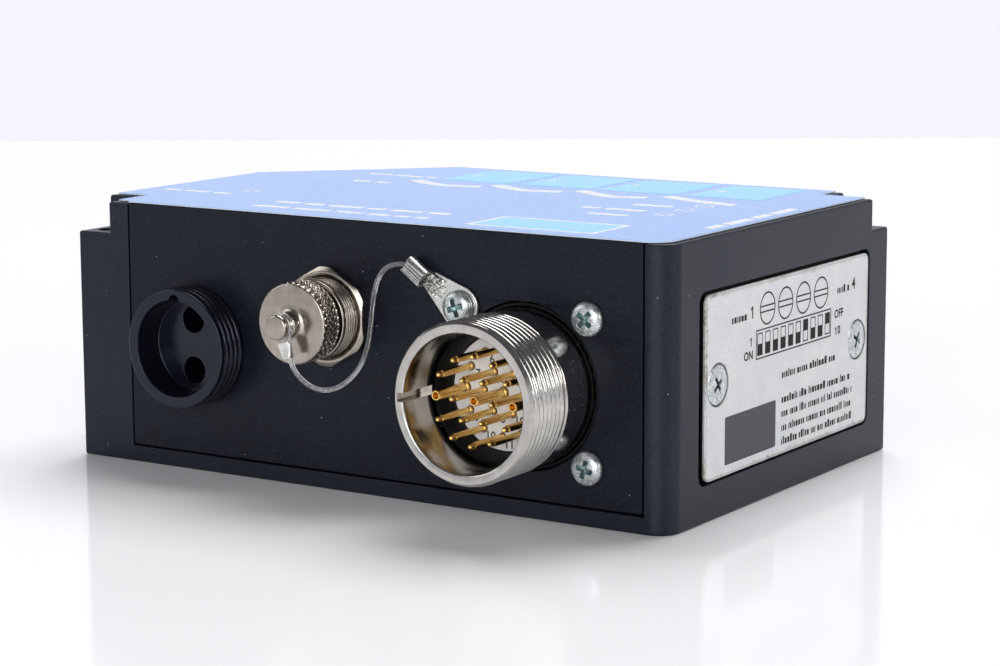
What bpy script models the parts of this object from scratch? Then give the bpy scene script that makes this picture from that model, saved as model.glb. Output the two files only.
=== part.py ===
"""Fibre-optic colour sensor in a milled aluminium housing, with its three connectors.

The origin is the centre of the housing's underside, +Z is up and the connector
panel faces -Y. Sizes are in metres. Places are worked out from the left side, the
front face and the underside of the housing, as someone facing the panel sees them.
"""
import math

import bmesh
import bpy
from mathutils import Matrix, Vector

MM = 0.001

# Housing
HOUSING_WIDTH = 105.0 * MM
HOUSING_DEPTH = 69.5 * MM
HOUSING_HEIGHT = 40.25 * MM
WALL = 3.2 * MM
FLOOR = 4.0 * MM
ROOF = 2.75 * MM
SIDE_WALL = 4.6 * MM
CORNER_CHAMFER = 25.0 * MM
FRONT_CORNER_RADIUS = 3.5 * MM
EDGE_BREAK = 0.4 * MM
FLAT_DEGREES = 0.5
POST_WIDTH = 12.0 * MM
POST_DEPTH = 11.0 * MM
REAR_BLOCK_WIDTH = 10.5 * MM
REAR_BLOCK_DEPTH = 11.0 * MM
LEDGE_DROP = 4.85 * MM
LEDGE_HEIGHT = HOUSING_HEIGHT - LEDGE_DROP
FRONT_LEDGE_WIDTH = 6.2 * MM
FRONT_LEDGE_DEPTH = 7.4 * MM
REAR_LEDGE_WIDTH = 7.6 * MM
REAR_LEDGE_DEPTH = 5.6 * MM
MOUNTING_HOLE_RADIUS = 1.7 * MM
FRONT_HOLE_INSETS = (3.1 * MM, 3.7 * MM)
REAR_HOLE_INSETS = (3.8 * MM, 2.8 * MM)

# Clearances
FIT = 0.3 * MM
SEAT = 0.2 * MM
PIN_FIT = 0.1 * MM
OVERLAP = 0.2 * MM
CUT = 2.0 * MM

# Front panel
PANEL_LEFT = 10.0 * MM
RIGHT_POST_WIDTH = 3.85 * MM
PANEL_RIGHT = HOUSING_WIDTH - RIGHT_POST_WIDTH
PANEL_BOTTOM = 2.5 * MM
PANEL_THICKNESS = 3.0 * MM
PANEL_CORNER_RADIUS = 0.4 * MM

# Foil on the roof
FOIL_THICKNESS = 0.25 * MM
FOIL_INSET = 1.0 * MM
FOIL_FRONT_INSET = 0.35 * MM

# Indicator windows under the foil
WINDOW_COUNT = 4
WINDOW_LEFT_INSET = 33.5 * MM
WINDOW_RIGHT_INSET = 12.7 * MM
WINDOW_GAP = 2.0 * MM
WINDOW_REAR_INSET = 3.6 * MM
WINDOW_DEPTH = 15.0 * MM
WINDOW_ROW = HOUSING_WIDTH - WINDOW_LEFT_INSET - WINDOW_RIGHT_INSET
WINDOW_WIDTH = (WINDOW_ROW - (WINDOW_COUNT - 1) * WINDOW_GAP) / WINDOW_COUNT
WINDOW_FRONT = HOUSING_DEPTH - WINDOW_REAR_INSET - WINDOW_DEPTH
STATUS_LAMP_COUNT = 3
STATUS_LAMP_INSET = 16.3 * MM
STATUS_LAMP_FRONT = 27.4 * MM
STATUS_LAMP_PITCH = 6.2 * MM
POWER_LAMP_PLACE = (17.3 * MM, 21.2 * MM)
LAMP_RADIUS = 1.5 * MM

# Side cover
COVER_FRONT = 9.6 * MM
COVER_BOTTOM = 5.7 * MM
COVER_LENGTH = 53.0 * MM
COVER_HEIGHT = 26.7 * MM
COVER_THICKNESS = 1.0 * MM
COVER_CORNER_RADIUS = 1.3 * MM
COVER_GAP = 0.35 * MM
COVER_FRONT_GAP = 1.1 * MM
COVER_GASKET_THICKNESS = 0.4 * MM
COVER_SCREW_FRONT_INSET = 4.4 * MM
COVER_SCREW_REAR_INSET = 3.8 * MM
COVER_SCREW_DEPTHS = (COVER_FRONT + COVER_SCREW_FRONT_INSET,
                      COVER_FRONT + COVER_LENGTH - COVER_SCREW_REAR_INSET)
COVER_SCREW_HEIGHT = 19.1 * MM
COVER_SCREW_HEAD_RADIUS = 2.9 * MM
COVER_SCREW_LENGTH = 4.0 * MM
COVER_SCREW_RADIUS = 1.5 * MM

# Setting opening behind the side cover
SETTING_SHIFT = 1.35 * MM
SETTING_CENTRE = COVER_FRONT + COVER_LENGTH / 2 + SETTING_SHIFT
SETTING_MARGIN = 1.0 * MM
SETTING_BOTTOM = 18.4 * MM

# Switch block and trimmers on the side board
SIDE_BOARD_INSET = 8.0 * MM
SIDE_BOARD_FACE = HOUSING_WIDTH - SIDE_BOARD_INSET
SIDE_BOARD_LENGTH = 35.0 * MM
SIDE_BOARD_BOTTOM = 14.0 * MM
SWITCH_COUNT = 10
SWITCH_PITCH = 2.54 * MM
SWITCH_END = 0.75 * MM
SWITCH_BLOCK_LENGTH = SWITCH_COUNT * SWITCH_PITCH + 2 * SWITCH_END
SWITCH_BLOCK_BOTTOM = SETTING_BOTTOM + SETTING_MARGIN
SWITCH_BLOCK_HEIGHT = 5.6 * MM
SWITCH_BLOCK_RISE = 3.7 * MM
SWITCH_SLOT_WIDTH = 1.3 * MM
SWITCH_SLOT_LENGTH = 3.6 * MM
SWITCH_SLOT_DEPTH = 0.9 * MM
SWITCH_KNOB_LENGTH = 1.3 * MM
SWITCH_KNOB_RISE = 0.9 * MM
SWITCH_UP_INDEX = (6, 9)
TRIMMER_COUNT = 4
TRIMMER_PITCH = 5.77 * MM
TRIMMER_GAP = 0.6 * MM
TRIMMER_SIDE = 5.0 * MM
TRIMMER_RISE = 3.9 * MM
TRIMMER_BOTTOM = SWITCH_BLOCK_BOTTOM + SWITCH_BLOCK_HEIGHT + TRIMMER_GAP
TRIMMER_HEIGHT = TRIMMER_BOTTOM + TRIMMER_SIDE / 2
SETTING_LENGTH = SWITCH_BLOCK_LENGTH + 2 * SETTING_MARGIN
SETTING_FRONT = SETTING_CENTRE - SETTING_LENGTH / 2
SETTING_HEIGHT = TRIMMER_BOTTOM + TRIMMER_SIDE + SETTING_MARGIN - SETTING_BOTTOM
ROTOR_RADIUS = 1.7 * MM
ROTOR_DEPTH = 1.3 * MM
ROTOR_RISE = 0.3 * MM
ROTOR_SLOT_WIDTH = 0.6 * MM
ROTOR_SLOT_DEPTH = 0.8 * MM

# Main board
BOARD_THICKNESS = 1.6 * MM
BOARD_DROP = 7.25 * MM
MAIN_BOARD_BOTTOM = HOUSING_HEIGHT - BOARD_DROP
BOARD_LEFT = 14.0 * MM
BOARD_RIGHT = SIDE_BOARD_FACE
BOARD_FRONT = 9.0 * MM
BOARD_MARGIN = 1.0 * MM
BOARD_REAR_INSET = 5.0 * MM
BOARD_REAR = HOUSING_DEPTH - BOARD_REAR_INSET
BOSS_RADIUS = 3.0 * MM
LEFT_BOSS_PLACE = (22.0 * MM, 32.0 * MM)
RIGHT_BOSS_INSET = 25.0 * MM
RIGHT_BOSS_DEPTH = 20.0 * MM
BOARD_SCREWS = (("left", *LEFT_BOSS_PLACE), ("right", HOUSING_WIDTH - RIGHT_BOSS_INSET, RIGHT_BOSS_DEPTH))
BOARD_SCREW_RADIUS = 1.0 * MM
BOARD_SCREW_HEAD_RADIUS = 2.0 * MM
BOARD_SCREW_HEAD_HEIGHT = 1.4 * MM
BOARD_SCREW_REACH = 3.2 * MM
CHIP_PLACE = (42.0 * MM, 26.0 * MM)
CHIP_SIDE = 14.0 * MM
CHIP_HEIGHT = 1.8 * MM

# Fibre collar, left on the panel
COLLAR_ACROSS = 23.2 * MM
COLLAR_UP = 19.6 * MM
COLLAR_FORWARD = 5.3 * MM
COLLAR_CREST_RADIUS = 9.1 * MM
COLLAR_ROOT_RADIUS = 8.55 * MM
COLLAR_FACE_RADIUS = 8.6 * MM
COLLAR_MOUTH_RADIUS = 7.32 * MM
COLLAR_CUP_RADIUS = 7.0 * MM
COLLAR_CUP_FLOOR = 0.75 * MM
COLLAR_LEAD = 0.45 * MM
COLLAR_PITCH = 1.05 * MM
COLLAR_TURNS = 4
COLLAR_NECK_RADIUS = 8.2 * MM
COLLAR_REACH = 9.0 * MM
COLLAR_NOTCH_RADIUS = 1.0 * MM
FIBRE_HOLE_RADIUS = 2.05 * MM
FIBRE_HOLE_OFFSET = 3.9 * MM
COLLAR_NUT_FLATS = 20.0 * MM
COLLAR_NUT_THICKNESS = 3.0 * MM

# Optics behind the collar
OPTICS_WIDTH = 16.0 * MM
OPTICS_HEIGHT = 17.0 * MM
OPTICS_LENGTH = 9.0 * MM
EMITTER_RADIUS = 2.5 * MM
EMITTER_FLANGE_RADIUS = 2.9 * MM
EMITTER_LENGTH = 7.0 * MM

# Service connector with its screw cap, in the middle of the panel
SERVICE_UP = 26.05 * MM
SLEEVE_RADIUS = 5.95 * MM
SLEEVE_FORWARD = 4.5 * MM
SLEEVE_REACH = 9.0 * MM
SPIGOT_RADIUS = 4.4 * MM
SPIGOT_FORWARD = 7.9 * MM
SPIGOT_BORE = 3.6 * MM
SLEEVE_FLANGE_RADIUS = 7.4 * MM
SLEEVE_FLANGE_THICKNESS = 1.5 * MM
NUT_FLATS = 13.4 * MM
NUT_THICKNESS = 1.5 * MM
NUT_CHAMFER = 0.35 * MM
CAP_FRONT = 9.2 * MM
CAP_LENGTH = 3.9 * MM
CAP_RADIUS = 5.95 * MM
CAP_KNURL_DEPTH = 0.3 * MM
CAP_KNURL_TEETH = 36
CAP_CHAMFER = 0.3 * MM
CAP_BORE = 4.75 * MM
CAP_FLOOR = 0.8 * MM
STUD_LENGTH = 3.8 * MM
STUD_RADIUS = 1.95 * MM
STUD_HEAD = 0.8 * MM
STUD_GROOVE_RADIUS = 1.3 * MM
STUD_GROOVE_LENGTH = 1.4 * MM

# Lanyard of the screw cap: its run, in millimetres from the left side, the front
# face and the underside
CORD_RADIUS = 0.35 * MM
CORD_POINT_COUNT = 28
TAIL_CLEARANCE = 0.5 * MM
LOOP_RADIUS = 1.8 * MM
LOOP_POINTS = 14
FERRULE_WIDTH = 2.1 * MM
FERRULE_LENGTH = 2.4 * MM
FERRULE_THICKNESS = 1.3 * MM
FERRULE_WALL = 0.25 * MM
FERRULE_DROP = 3.35 * MM
FERRULE_LEAN = 0.9 * MM
LANYARD_ROUTE = (
    (50.0, 11.5, 20.7), (50.8, 11.4, 19.4), (52.1, 11.1, 18.2), (53.6, 10.7, 17.45),
    (55.0, 10.2, 17.3), (56.4, 9.7, 17.65), (57.7, 9.1, 18.5), (58.8, 8.2, 19.9),
    (59.5, 7.3, 21.7), (59.6, 6.3, 23.7), (59.3, 5.2, 26.1), (58.9, 4.1, 28.7),
    (58.75, 3.2, 31.2), (59.05, 2.6, 32.9), (59.85, 2.2, 34.1), (61.0, 1.95, 34.7),
    (62.2, 1.8, 34.9), (63.21, 1.75, 34.83), (64.12, 1.75, 34.37),
)

# Ring terminal that anchors the lanyard
TERMINAL_BARREL_OFFSET = (-8.07 * MM, 5.71 * MM)
TERMINAL_BARREL_LENGTH = 3.7 * MM
TERMINAL_BARREL_RADIUS = 1.35 * MM
TERMINAL_BARREL_BORE = 0.75 * MM
TERMINAL_BARREL_FORWARD = 1.75 * MM
TERMINAL_THICKNESS = 0.5 * MM
TERMINAL_RING_RADIUS = 3.1 * MM
TERMINAL_NECK_WIDTH = 3.2 * MM
TERMINAL_SHOULDER_DEGREES = 50

# Nineteen-contact connector, right on the panel
MAIN_INSET = 23.15 * MM
MAIN_ACROSS = HOUSING_WIDTH - MAIN_INSET
MAIN_UP = 18.83 * MM
SHELL_FORWARD = 15.7 * MM
SHELL_RADIUS = 11.4 * MM
SHELL_THREAD_ROOT = 10.85 * MM
SHELL_THREAD_PITCH = 1.0 * MM
SHELL_THREAD_TURNS = 8
SHELL_THREAD_START = 0.35 * MM
SHELL_BARREL_RADIUS = 11.2 * MM
SHELL_MOUTH_RADIUS = 9.7 * MM
SHELL_MOUTH_CHAMFER = 0.25 * MM
SHELL_STEP_FORWARD = 5.4 * MM
SHELL_BORE = 8.5 * MM
SHELL_TAIL_RADIUS = 9.8 * MM
SHELL_REACH = 12.0 * MM
FLANGE_SIDE = 27.0 * MM
FLANGE_CORNER_RADIUS = 3.0 * MM
FLANGE_THICKNESS = 2.5 * MM
KEYWAY_WIDTH = 1.4 * MM
KEYWAY_DEPTH = 1.0 * MM
SEAL_FORWARD = 8.6 * MM
SEAL_LIP = 0.5 * MM
INSERT_FORWARD = 5.3 * MM
INSERT_LENGTH = 15.0 * MM
SHELL_HOLE_RADIUS = 12.0 * MM
GASKET_SINK = 0.5 * MM
CONTACT_OUTER_CIRCLE = 6.24 * MM
CONTACT_INNER_CIRCLE = 3.2 * MM
CONTACT_TURN_DEGREES = -1.6
CONTACT_FORWARD = 13.7 * MM
CONTACT_RADIUS = 0.5 * MM
CONTACT_TIP_RADIUS = 0.38 * MM
CONTACT_NECK_RADIUS = 0.3 * MM
THICK_CONTACT_FORWARD = 12.8 * MM
THICK_CONTACT_RADIUS = 0.75 * MM
THICK_CONTACT_BORE = 0.45 * MM
THICK_CONTACT_BORE_DEPTH = 1.6 * MM
CONTACT_REACH = 12.5 * MM

# Panel screws around the nineteen-contact connector
PANEL_SCREW_OFFSET = 10.45 * MM
PANEL_SCREW_HEAD_RADIUS = 2.45 * MM
PANEL_SCREW_HEAD_HEIGHT = 1.25 * MM
PANEL_SCREW_RADIUS = 1.25 * MM
PANEL_SCREW_REACH = 6.5 * MM
RECESS_WIDTH = 0.55 * MM
RECESS_DEPTH = 0.8 * MM

# The service connector sits between the other two, at this share of the way
SERVICE_SHARE = 0.42626
SERVICE_ACROSS = COLLAR_ACROSS + (MAIN_ACROSS - COLLAR_ACROSS) * SERVICE_SHARE

FINE_STEPS = 40
MEDIUM_STEPS = 28
SMALL_STEPS = 16
TINY_STEPS = 12
COARSE_STEPS = 8

FORWARD = Matrix(((1, 0, 0), (0, 0, -1), (0, 1, 0))).to_4x4()
RIGHT = Matrix(((0, 0, 1), (1, 0, 0), (0, 1, 0))).to_4x4()
UP = Matrix.Identity(4)


def clear_scene():
    for item in list(bpy.data.objects):
        bpy.data.objects.remove(item, do_unlink=True)


def new_collection(name):
    collection = bpy.data.collections.new(name)
    bpy.context.scene.collection.children.link(collection)
    return collection


def paint(name, colour, roughness, metallic=0.0):
    material = bpy.data.materials.new(name)
    material.use_nodes = True
    shader = material.node_tree.nodes["Principled BSDF"]
    shader.inputs["Base Color"].default_value = (*colour, 1.0)
    shader.inputs["Roughness"].default_value = roughness
    shader.inputs["Metallic"].default_value = metallic
    return material


def spot(across, forward, up):
    """A place given from the left side, the front face (towards the viewer) and the underside."""
    return Vector((across - HOUSING_WIDTH / 2, -HOUSING_DEPTH / 2 - forward, up))


def behind(across, depth, up):
    """A place given by its depth behind the front face."""
    return spot(across, -depth, up)


def add_object(name, mesh, material, pose=None):
    item = bpy.data.objects.new(name, mesh)
    PARTS.objects.link(item)
    if pose is not None:
        item.matrix_world = pose
    if material is not None:
        mesh.materials.append(material)
    return item


def box(name, low, high, material=None):
    low, high = Vector(low), Vector(high)
    size = high - low
    form = bmesh.new()
    bmesh.ops.create_cube(form, size=1.0)
    bmesh.ops.scale(form, vec=size, verts=form.verts)
    bmesh.ops.translate(form, vec=(low + high) / 2, verts=form.verts)
    mesh = bpy.data.meshes.new(name)
    form.to_mesh(mesh)
    form.free()
    return add_object(name, mesh, material)


def cylinder(name, radius, low, high, centre, facing, material=None, steps=SMALL_STEPS):
    """A round bar from low to high along the facing axis, through the centre."""
    form = bmesh.new()
    bmesh.ops.create_cone(form, cap_ends=True, segments=steps, radius1=radius, radius2=radius,
                          depth=high - low)
    bmesh.ops.translate(form, vec=(0, 0, (low + high) / 2), verts=form.verts)
    mesh = bpy.data.meshes.new(name)
    form.to_mesh(mesh)
    form.free()
    item = add_object(name, mesh, material, Matrix.Translation(centre) @ facing)
    smooth(item)
    return item


def smooth(item):
    item.data.shade_smooth()
    item.data.set_sharp_from_angle(angle=math.radians(35))


def turned(name, profile, steps, centre, facing, material=None, closed=False):
    """A Screw of (radius, height) points that run down the outer side, top to bottom."""
    mesh = bpy.data.meshes.new(name)
    points = [(radius, 0.0, height) for radius, height in profile]
    edges = [(i, i + 1) for i in range(len(points) - 1)]
    if closed:
        edges.append((len(points) - 1, 0))
    mesh.from_pydata(points, edges, [])
    item = add_object(name, mesh, material, Matrix.Translation(centre) @ facing)
    screw = item.modifiers.new("Turn", "SCREW")
    screw.axis = "Z"
    screw.angle = math.radians(360)
    screw.steps = steps
    screw.render_steps = steps
    screw.use_merge_vertices = True
    screw.merge_threshold = 0.00001
    screw.use_smooth_shade = False
    return item


def arc(centre, radius, start, end, steps):
    """Points of a round stretch, with its ends, angles in degrees."""
    points = []
    for i in range(steps + 1):
        angle = math.radians(start + (end - start) * i / steps)
        points.append((centre[0] + radius * math.cos(angle), centre[1] + radius * math.sin(angle)))
    return points


def ring(centre, radius, steps, turn=0.0):
    return arc(centre, radius, turn, turn + 360, steps)[:-1]


def rounded_rectangle(low, high, radius, steps=4):
    left, bottom, right, top = low[0] + radius, low[1] + radius, high[0] - radius, high[1] - radius
    return (arc((right, bottom), radius, -90, 0, steps) + arc((right, top), radius, 0, 90, steps)
            + arc((left, top), radius, 90, 180, steps) + arc((left, bottom), radius, 180, 270, steps))


def to_mesh(item, material):
    """Turns a curve object into a welded mesh object in the same place."""
    name = item.name
    bpy.context.view_layer.update()
    evaluated = item.evaluated_get(bpy.context.evaluated_depsgraph_get())
    mesh = bpy.data.meshes.new_from_object(evaluated)
    pose = item.matrix_world.copy()
    bpy.data.objects.remove(item, do_unlink=True)
    form = bmesh.new()
    form.from_mesh(mesh)
    bmesh.ops.remove_doubles(form, verts=form.verts, dist=0.000002)
    bmesh.ops.recalc_face_normals(form, faces=form.faces)
    form.to_mesh(mesh)
    form.free()
    mesh.materials.clear()
    solid = add_object(name, mesh, material, pose)
    smooth(solid)
    return solid


def plate(name, outlines, low, high, centre, facing, material=None):
    """A flat outline, with holes as further outlines, from low to high along the facing axis."""
    curve = bpy.data.curves.new(name, "CURVE")
    curve.dimensions = "2D"
    curve.fill_mode = "BOTH"
    curve.extrude = (high - low) / 2
    for outline in outlines:
        spline = curve.splines.new("POLY")
        spline.points.add(len(outline) - 1)
        for point, (x, y) in zip(spline.points, outline):
            point.co = (x, y, 0.0, 1.0)
        spline.use_cyclic_u = True
    item = bpy.data.objects.new(name, curve)
    PARTS.objects.link(item)
    shift = Matrix.Translation((0, 0, (low + high) / 2))
    item.matrix_world = Matrix.Translation(centre) @ facing @ shift
    return to_mesh(item, material)


def tube(name, points, radius, material, closed=False):
    """A wire along a row of points, with filled caps."""
    curve = bpy.data.curves.new(name, "CURVE")
    curve.dimensions = "3D"
    curve.bevel_depth = radius
    curve.bevel_resolution = 2
    curve.use_fill_caps = True
    spline = curve.splines.new("POLY")
    spline.points.add(len(points) - 1)
    for point, place in zip(spline.points, points):
        point.co = (*place, 1.0)
    spline.use_cyclic_u = closed
    item = bpy.data.objects.new(name, curve)
    PARTS.objects.link(item)
    curve.materials.append(material)
    return item


def smooth_route(points, count):
    """Evenly spaced places on a Catmull-Rom curve through the points."""
    knots = [points[0] * 2 - points[1], *points, points[-1] * 2 - points[-2]]
    fine = []
    for a, b, c, d in zip(knots, knots[1:], knots[2:], knots[3:]):
        for i in range(20):
            t = i / 20
            fine.append(0.5 * ((2 * b) + (c - a) * t + (2 * a - 5 * b + 4 * c - d) * t * t
                               + (3 * b - a - 3 * c + d) * t ** 3))
    fine.append(points[-1])
    lengths = [0.0]
    for a, b in zip(fine, fine[1:]):
        lengths.append(lengths[-1] + (b - a).length)
    route = []
    k = 0
    for i in range(count):
        target = lengths[-1] * i / (count - 1)
        while k < len(fine) - 2 and lengths[k + 1] < target:
            k += 1
        share = (target - lengths[k]) / (lengths[k + 1] - lengths[k])
        route.append(fine[k].lerp(fine[k + 1], share))
    return route


def hide_cutter(item):
    for owner in list(item.users_collection):
        owner.objects.unlink(item)
    CUTTERS.objects.link(item)
    item.hide_render = True
    item.display_type = "WIRE"


def combine(target, tool, operation):
    hide_cutter(tool)
    step = target.modifiers.new(tool.name, "BOOLEAN")
    step.operation = operation
    step.object = tool
    step.solver = "EXACT"


def cut(target, *tools):
    for tool in tools:
        combine(target, tool, "DIFFERENCE")


def join(target, *tools):
    for tool in tools:
        combine(target, tool, "UNION")


def ridges(crest, root, start, pitch, turns):
    """Profile of a fine thread as rings, from its start backwards."""
    points = []
    for i in range(turns):
        points.append((crest, start - i * pitch))
        points.append((root, start - (i + 0.5) * pitch))
    return points


def hexagon(flats, turn=30.0):
    return ring((0, 0), flats / math.sqrt(3), 6, turn)


def housing_outline():
    """Plan of the block, counter-clockwise from the front left corner."""
    right, rear, radius = HOUSING_WIDTH, HOUSING_DEPTH, FRONT_CORNER_RADIUS
    return [(0, 0), *arc((right - radius, radius), radius, -90, 0, 6), (right, rear),
            (CORNER_CHAMFER, rear), (0, rear - CORNER_CHAMFER)]


def cavity_outline():
    """Plan of the room inside, around the corner post and the rear corner block."""
    side, rear = HOUSING_WIDTH - SIDE_WALL, HOUSING_DEPTH - WALL
    slant = WALL * (math.sqrt(2) - 1)
    front = PANEL_THICKNESS
    chamfer_low = rear - CORNER_CHAMFER + slant
    return [(POST_WIDTH, front), (side, front), (side, HOUSING_DEPTH - REAR_BLOCK_DEPTH),
            (HOUSING_WIDTH - REAR_BLOCK_WIDTH, HOUSING_DEPTH - REAR_BLOCK_DEPTH),
            (HOUSING_WIDTH - REAR_BLOCK_WIDTH, rear), (WALL + CORNER_CHAMFER - slant, rear),
            (WALL, chamfer_low), (WALL, POST_DEPTH), (POST_WIDTH, POST_DEPTH)]


def plan_corner():
    """Origin of outlines that are drawn in plan."""
    return Vector((-HOUSING_WIDTH / 2, -HOUSING_DEPTH / 2, 0))


def side_corner():
    """Origin of outlines that are drawn on the right side, at its outer face."""
    return Vector((HOUSING_WIDTH / 2, -HOUSING_DEPTH / 2, 0))


def window_lefts():
    return [WINDOW_LEFT_INSET + i * (WINDOW_WIDTH + WINDOW_GAP) for i in range(WINDOW_COUNT)]


def lamp_places():
    across = HOUSING_WIDTH - STATUS_LAMP_INSET
    column = [(across, STATUS_LAMP_FRONT + i * STATUS_LAMP_PITCH) for i in range(STATUS_LAMP_COUNT)]
    return [*column, POWER_LAMP_PLACE]


def cover_recess():
    low = (COVER_FRONT - COVER_FRONT_GAP, COVER_BOTTOM - COVER_GAP)
    high = (COVER_FRONT + COVER_LENGTH + COVER_GAP, COVER_BOTTOM + COVER_HEIGHT + COVER_GAP)
    return low, high


def cover_recess_depth():
    return COVER_THICKNESS + COVER_GASKET_THICKNESS + 2 * SEAT


def housing():
    block = plate("housing", [housing_outline()], 0, HOUSING_HEIGHT, plan_corner(), UP, BLACK_METAL)
    front_notch = box("front_notch_cutter", behind(-CUT, -CUT, LEDGE_HEIGHT),
                      behind(FRONT_LEDGE_WIDTH, FRONT_LEDGE_DEPTH, HOUSING_HEIGHT + CUT))
    rear_notch = box("rear_notch_cutter",
                     behind(HOUSING_WIDTH - REAR_LEDGE_WIDTH, HOUSING_DEPTH - REAR_LEDGE_DEPTH, LEDGE_HEIGHT),
                     behind(HOUSING_WIDTH + CUT, HOUSING_DEPTH + CUT, HOUSING_HEIGHT + CUT))
    cut(block, front_notch, rear_notch)
    flat = block.modifiers.new("Flat faces", "DECIMATE")
    flat.decimate_type = "DISSOLVE"
    flat.angle_limit = math.radians(FLAT_DEGREES)
    edges = block.modifiers.new("Edges", "BEVEL")
    edges.width = EDGE_BREAK
    edges.segments = 2
    edges.use_clamp_overlap = False
    edges.limit_method = "ANGLE"
    edges.angle_limit = math.radians(40)
    pocket = box("panel_pocket_cutter", behind(PANEL_LEFT, -CUT, PANEL_BOTTOM),
                 behind(PANEL_RIGHT, PANEL_THICKNESS + FIT, HOUSING_HEIGHT + CUT))
    room = plate("room_cutter", [cavity_outline()], FLOOR, HOUSING_HEIGHT - ROOF, plan_corner(), UP)
    low, high = cover_recess()
    recess = plate("recess_cutter", [rounded_rectangle(low, high, COVER_CORNER_RADIUS + COVER_GAP)],
                   -cover_recess_depth(), CUT, side_corner(), RIGHT)
    setting = box("setting_cutter",
                  behind(HOUSING_WIDTH - SIDE_WALL - CUT, SETTING_FRONT, SETTING_BOTTOM),
                  behind(HOUSING_WIDTH, SETTING_FRONT + SETTING_LENGTH, SETTING_BOTTOM + SETTING_HEIGHT))
    cut(block, pocket, room, recess, setting)
    for depth in COVER_SCREW_DEPTHS:
        hole = cylinder("cover_screw_hole_cutter", COVER_SCREW_RADIUS + FIT, -SIDE_WALL - CUT, 0,
                        behind(HOUSING_WIDTH, depth, COVER_SCREW_HEIGHT), RIGHT, steps=TINY_STEPS)
        cut(block, hole)
    for left in window_lefts():
        cut(block, box("window_cutter", behind(left, WINDOW_FRONT, HOUSING_HEIGHT - ROOF - CUT),
                       behind(left + WINDOW_WIDTH, WINDOW_FRONT + WINDOW_DEPTH, HOUSING_HEIGHT + CUT)))
    for across, depth in lamp_places():
        cut(block, cylinder("lamp_hole_cutter", LAMP_RADIUS + FIT, HOUSING_HEIGHT - ROOF - CUT,
                            HOUSING_HEIGHT + CUT, behind(across, depth, 0), UP, steps=TINY_STEPS))
    rear_across, rear_depth = REAR_HOLE_INSETS
    for across, depth in (FRONT_HOLE_INSETS, (HOUSING_WIDTH - rear_across, HOUSING_DEPTH - rear_depth)):
        cut(block, cylinder("mounting_hole_cutter", MOUNTING_HOLE_RADIUS, -CUT, HOUSING_HEIGHT,
                            behind(across, depth, 0), UP, steps=SMALL_STEPS))
    boss_bottom = MAIN_BOARD_BOTTOM + BOARD_THICKNESS + FIT
    for _, across, depth in BOARD_SCREWS:
        boss = cylinder("boss", BOSS_RADIUS, boss_bottom, HOUSING_HEIGHT - ROOF + OVERLAP,
                        behind(across, depth, 0), UP)
        join(block, boss)
        cut(block, cylinder("boss_hole_cutter", BOARD_SCREW_RADIUS + FIT, boss_bottom - CUT,
                            HOUSING_HEIGHT - ROOF + OVERLAP, behind(across, depth, 0), UP, steps=TINY_STEPS))


def top_foil():
    inset, front = FOIL_INSET, FOIL_FRONT_INSET
    left, right, rear = inset, HOUSING_WIDTH - inset, HOUSING_DEPTH - inset
    slant = inset * (math.sqrt(2) - 1)
    corner = (right - FRONT_CORNER_RADIUS, front + FRONT_CORNER_RADIUS)
    outline = [(PANEL_LEFT, front), *arc(corner, FRONT_CORNER_RADIUS, -90, 0, 6),
               (right, HOUSING_DEPTH - REAR_LEDGE_DEPTH - inset),
               (HOUSING_WIDTH - REAR_LEDGE_WIDTH - inset, HOUSING_DEPTH - REAR_LEDGE_DEPTH - inset),
               (HOUSING_WIDTH - REAR_LEDGE_WIDTH - inset, rear),
               (CORNER_CHAMFER + slant, rear), (left, HOUSING_DEPTH - CORNER_CHAMFER - slant),
               (left, FRONT_LEDGE_DEPTH + inset), (FRONT_LEDGE_WIDTH + inset, FRONT_LEDGE_DEPTH + inset),
               (FRONT_LEDGE_WIDTH + inset, inset + front), (PANEL_LEFT, inset + front)]
    bottom = HOUSING_HEIGHT + PIN_FIT
    plate("top_foil", [outline], bottom, bottom + FOIL_THICKNESS, plan_corner(), UP, BLUE_FOIL)


def panel_screw_places():
    names = ("terminal", "right_top", "right_bottom", "left_bottom")
    signs = ((-1, 1), (1, 1), (1, -1), (-1, -1))
    return [(name, MAIN_ACROSS + a * PANEL_SCREW_OFFSET, MAIN_UP + b * PANEL_SCREW_OFFSET)
            for name, (a, b) in zip(names, signs)]


def front_panel():
    low = (PANEL_LEFT + FIT, PANEL_BOTTOM + FIT)
    high = (PANEL_RIGHT - FIT, HOUSING_HEIGHT)
    outlines = [rounded_rectangle(low, high, PANEL_CORNER_RADIUS, 2),
                ring((COLLAR_ACROSS, COLLAR_UP), COLLAR_NECK_RADIUS + FIT, MEDIUM_STEPS),
                ring((SERVICE_ACROSS, SERVICE_UP), SLEEVE_RADIUS + FIT, MEDIUM_STEPS),
                ring((MAIN_ACROSS, MAIN_UP), SHELL_HOLE_RADIUS, FINE_STEPS)]
    for _, across, up in panel_screw_places():
        outlines.append(ring((across, up), PANEL_SCREW_RADIUS + FIT, TINY_STEPS))
    plate("front_panel", outlines, -PANEL_THICKNESS, 0, plan_corner(), FORWARD, BLACK_METAL)


def cross_recess(target, face, centre, facing, turn):
    """Two crossed slots cut down from the face of a screw head."""
    for quarter in (0, 90):
        half = PANEL_SCREW_HEAD_RADIUS * 0.55
        arm = box("recess_arm_cutter", (-half, -RECESS_WIDTH / 2, face - RECESS_DEPTH),
                  (half, RECESS_WIDTH / 2, face + CUT))
        arm.matrix_world = (Matrix.Translation(centre) @ facing
                            @ Matrix.Rotation(math.radians(turn + quarter), 4, "Z"))
        cut(target, arm)


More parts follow.
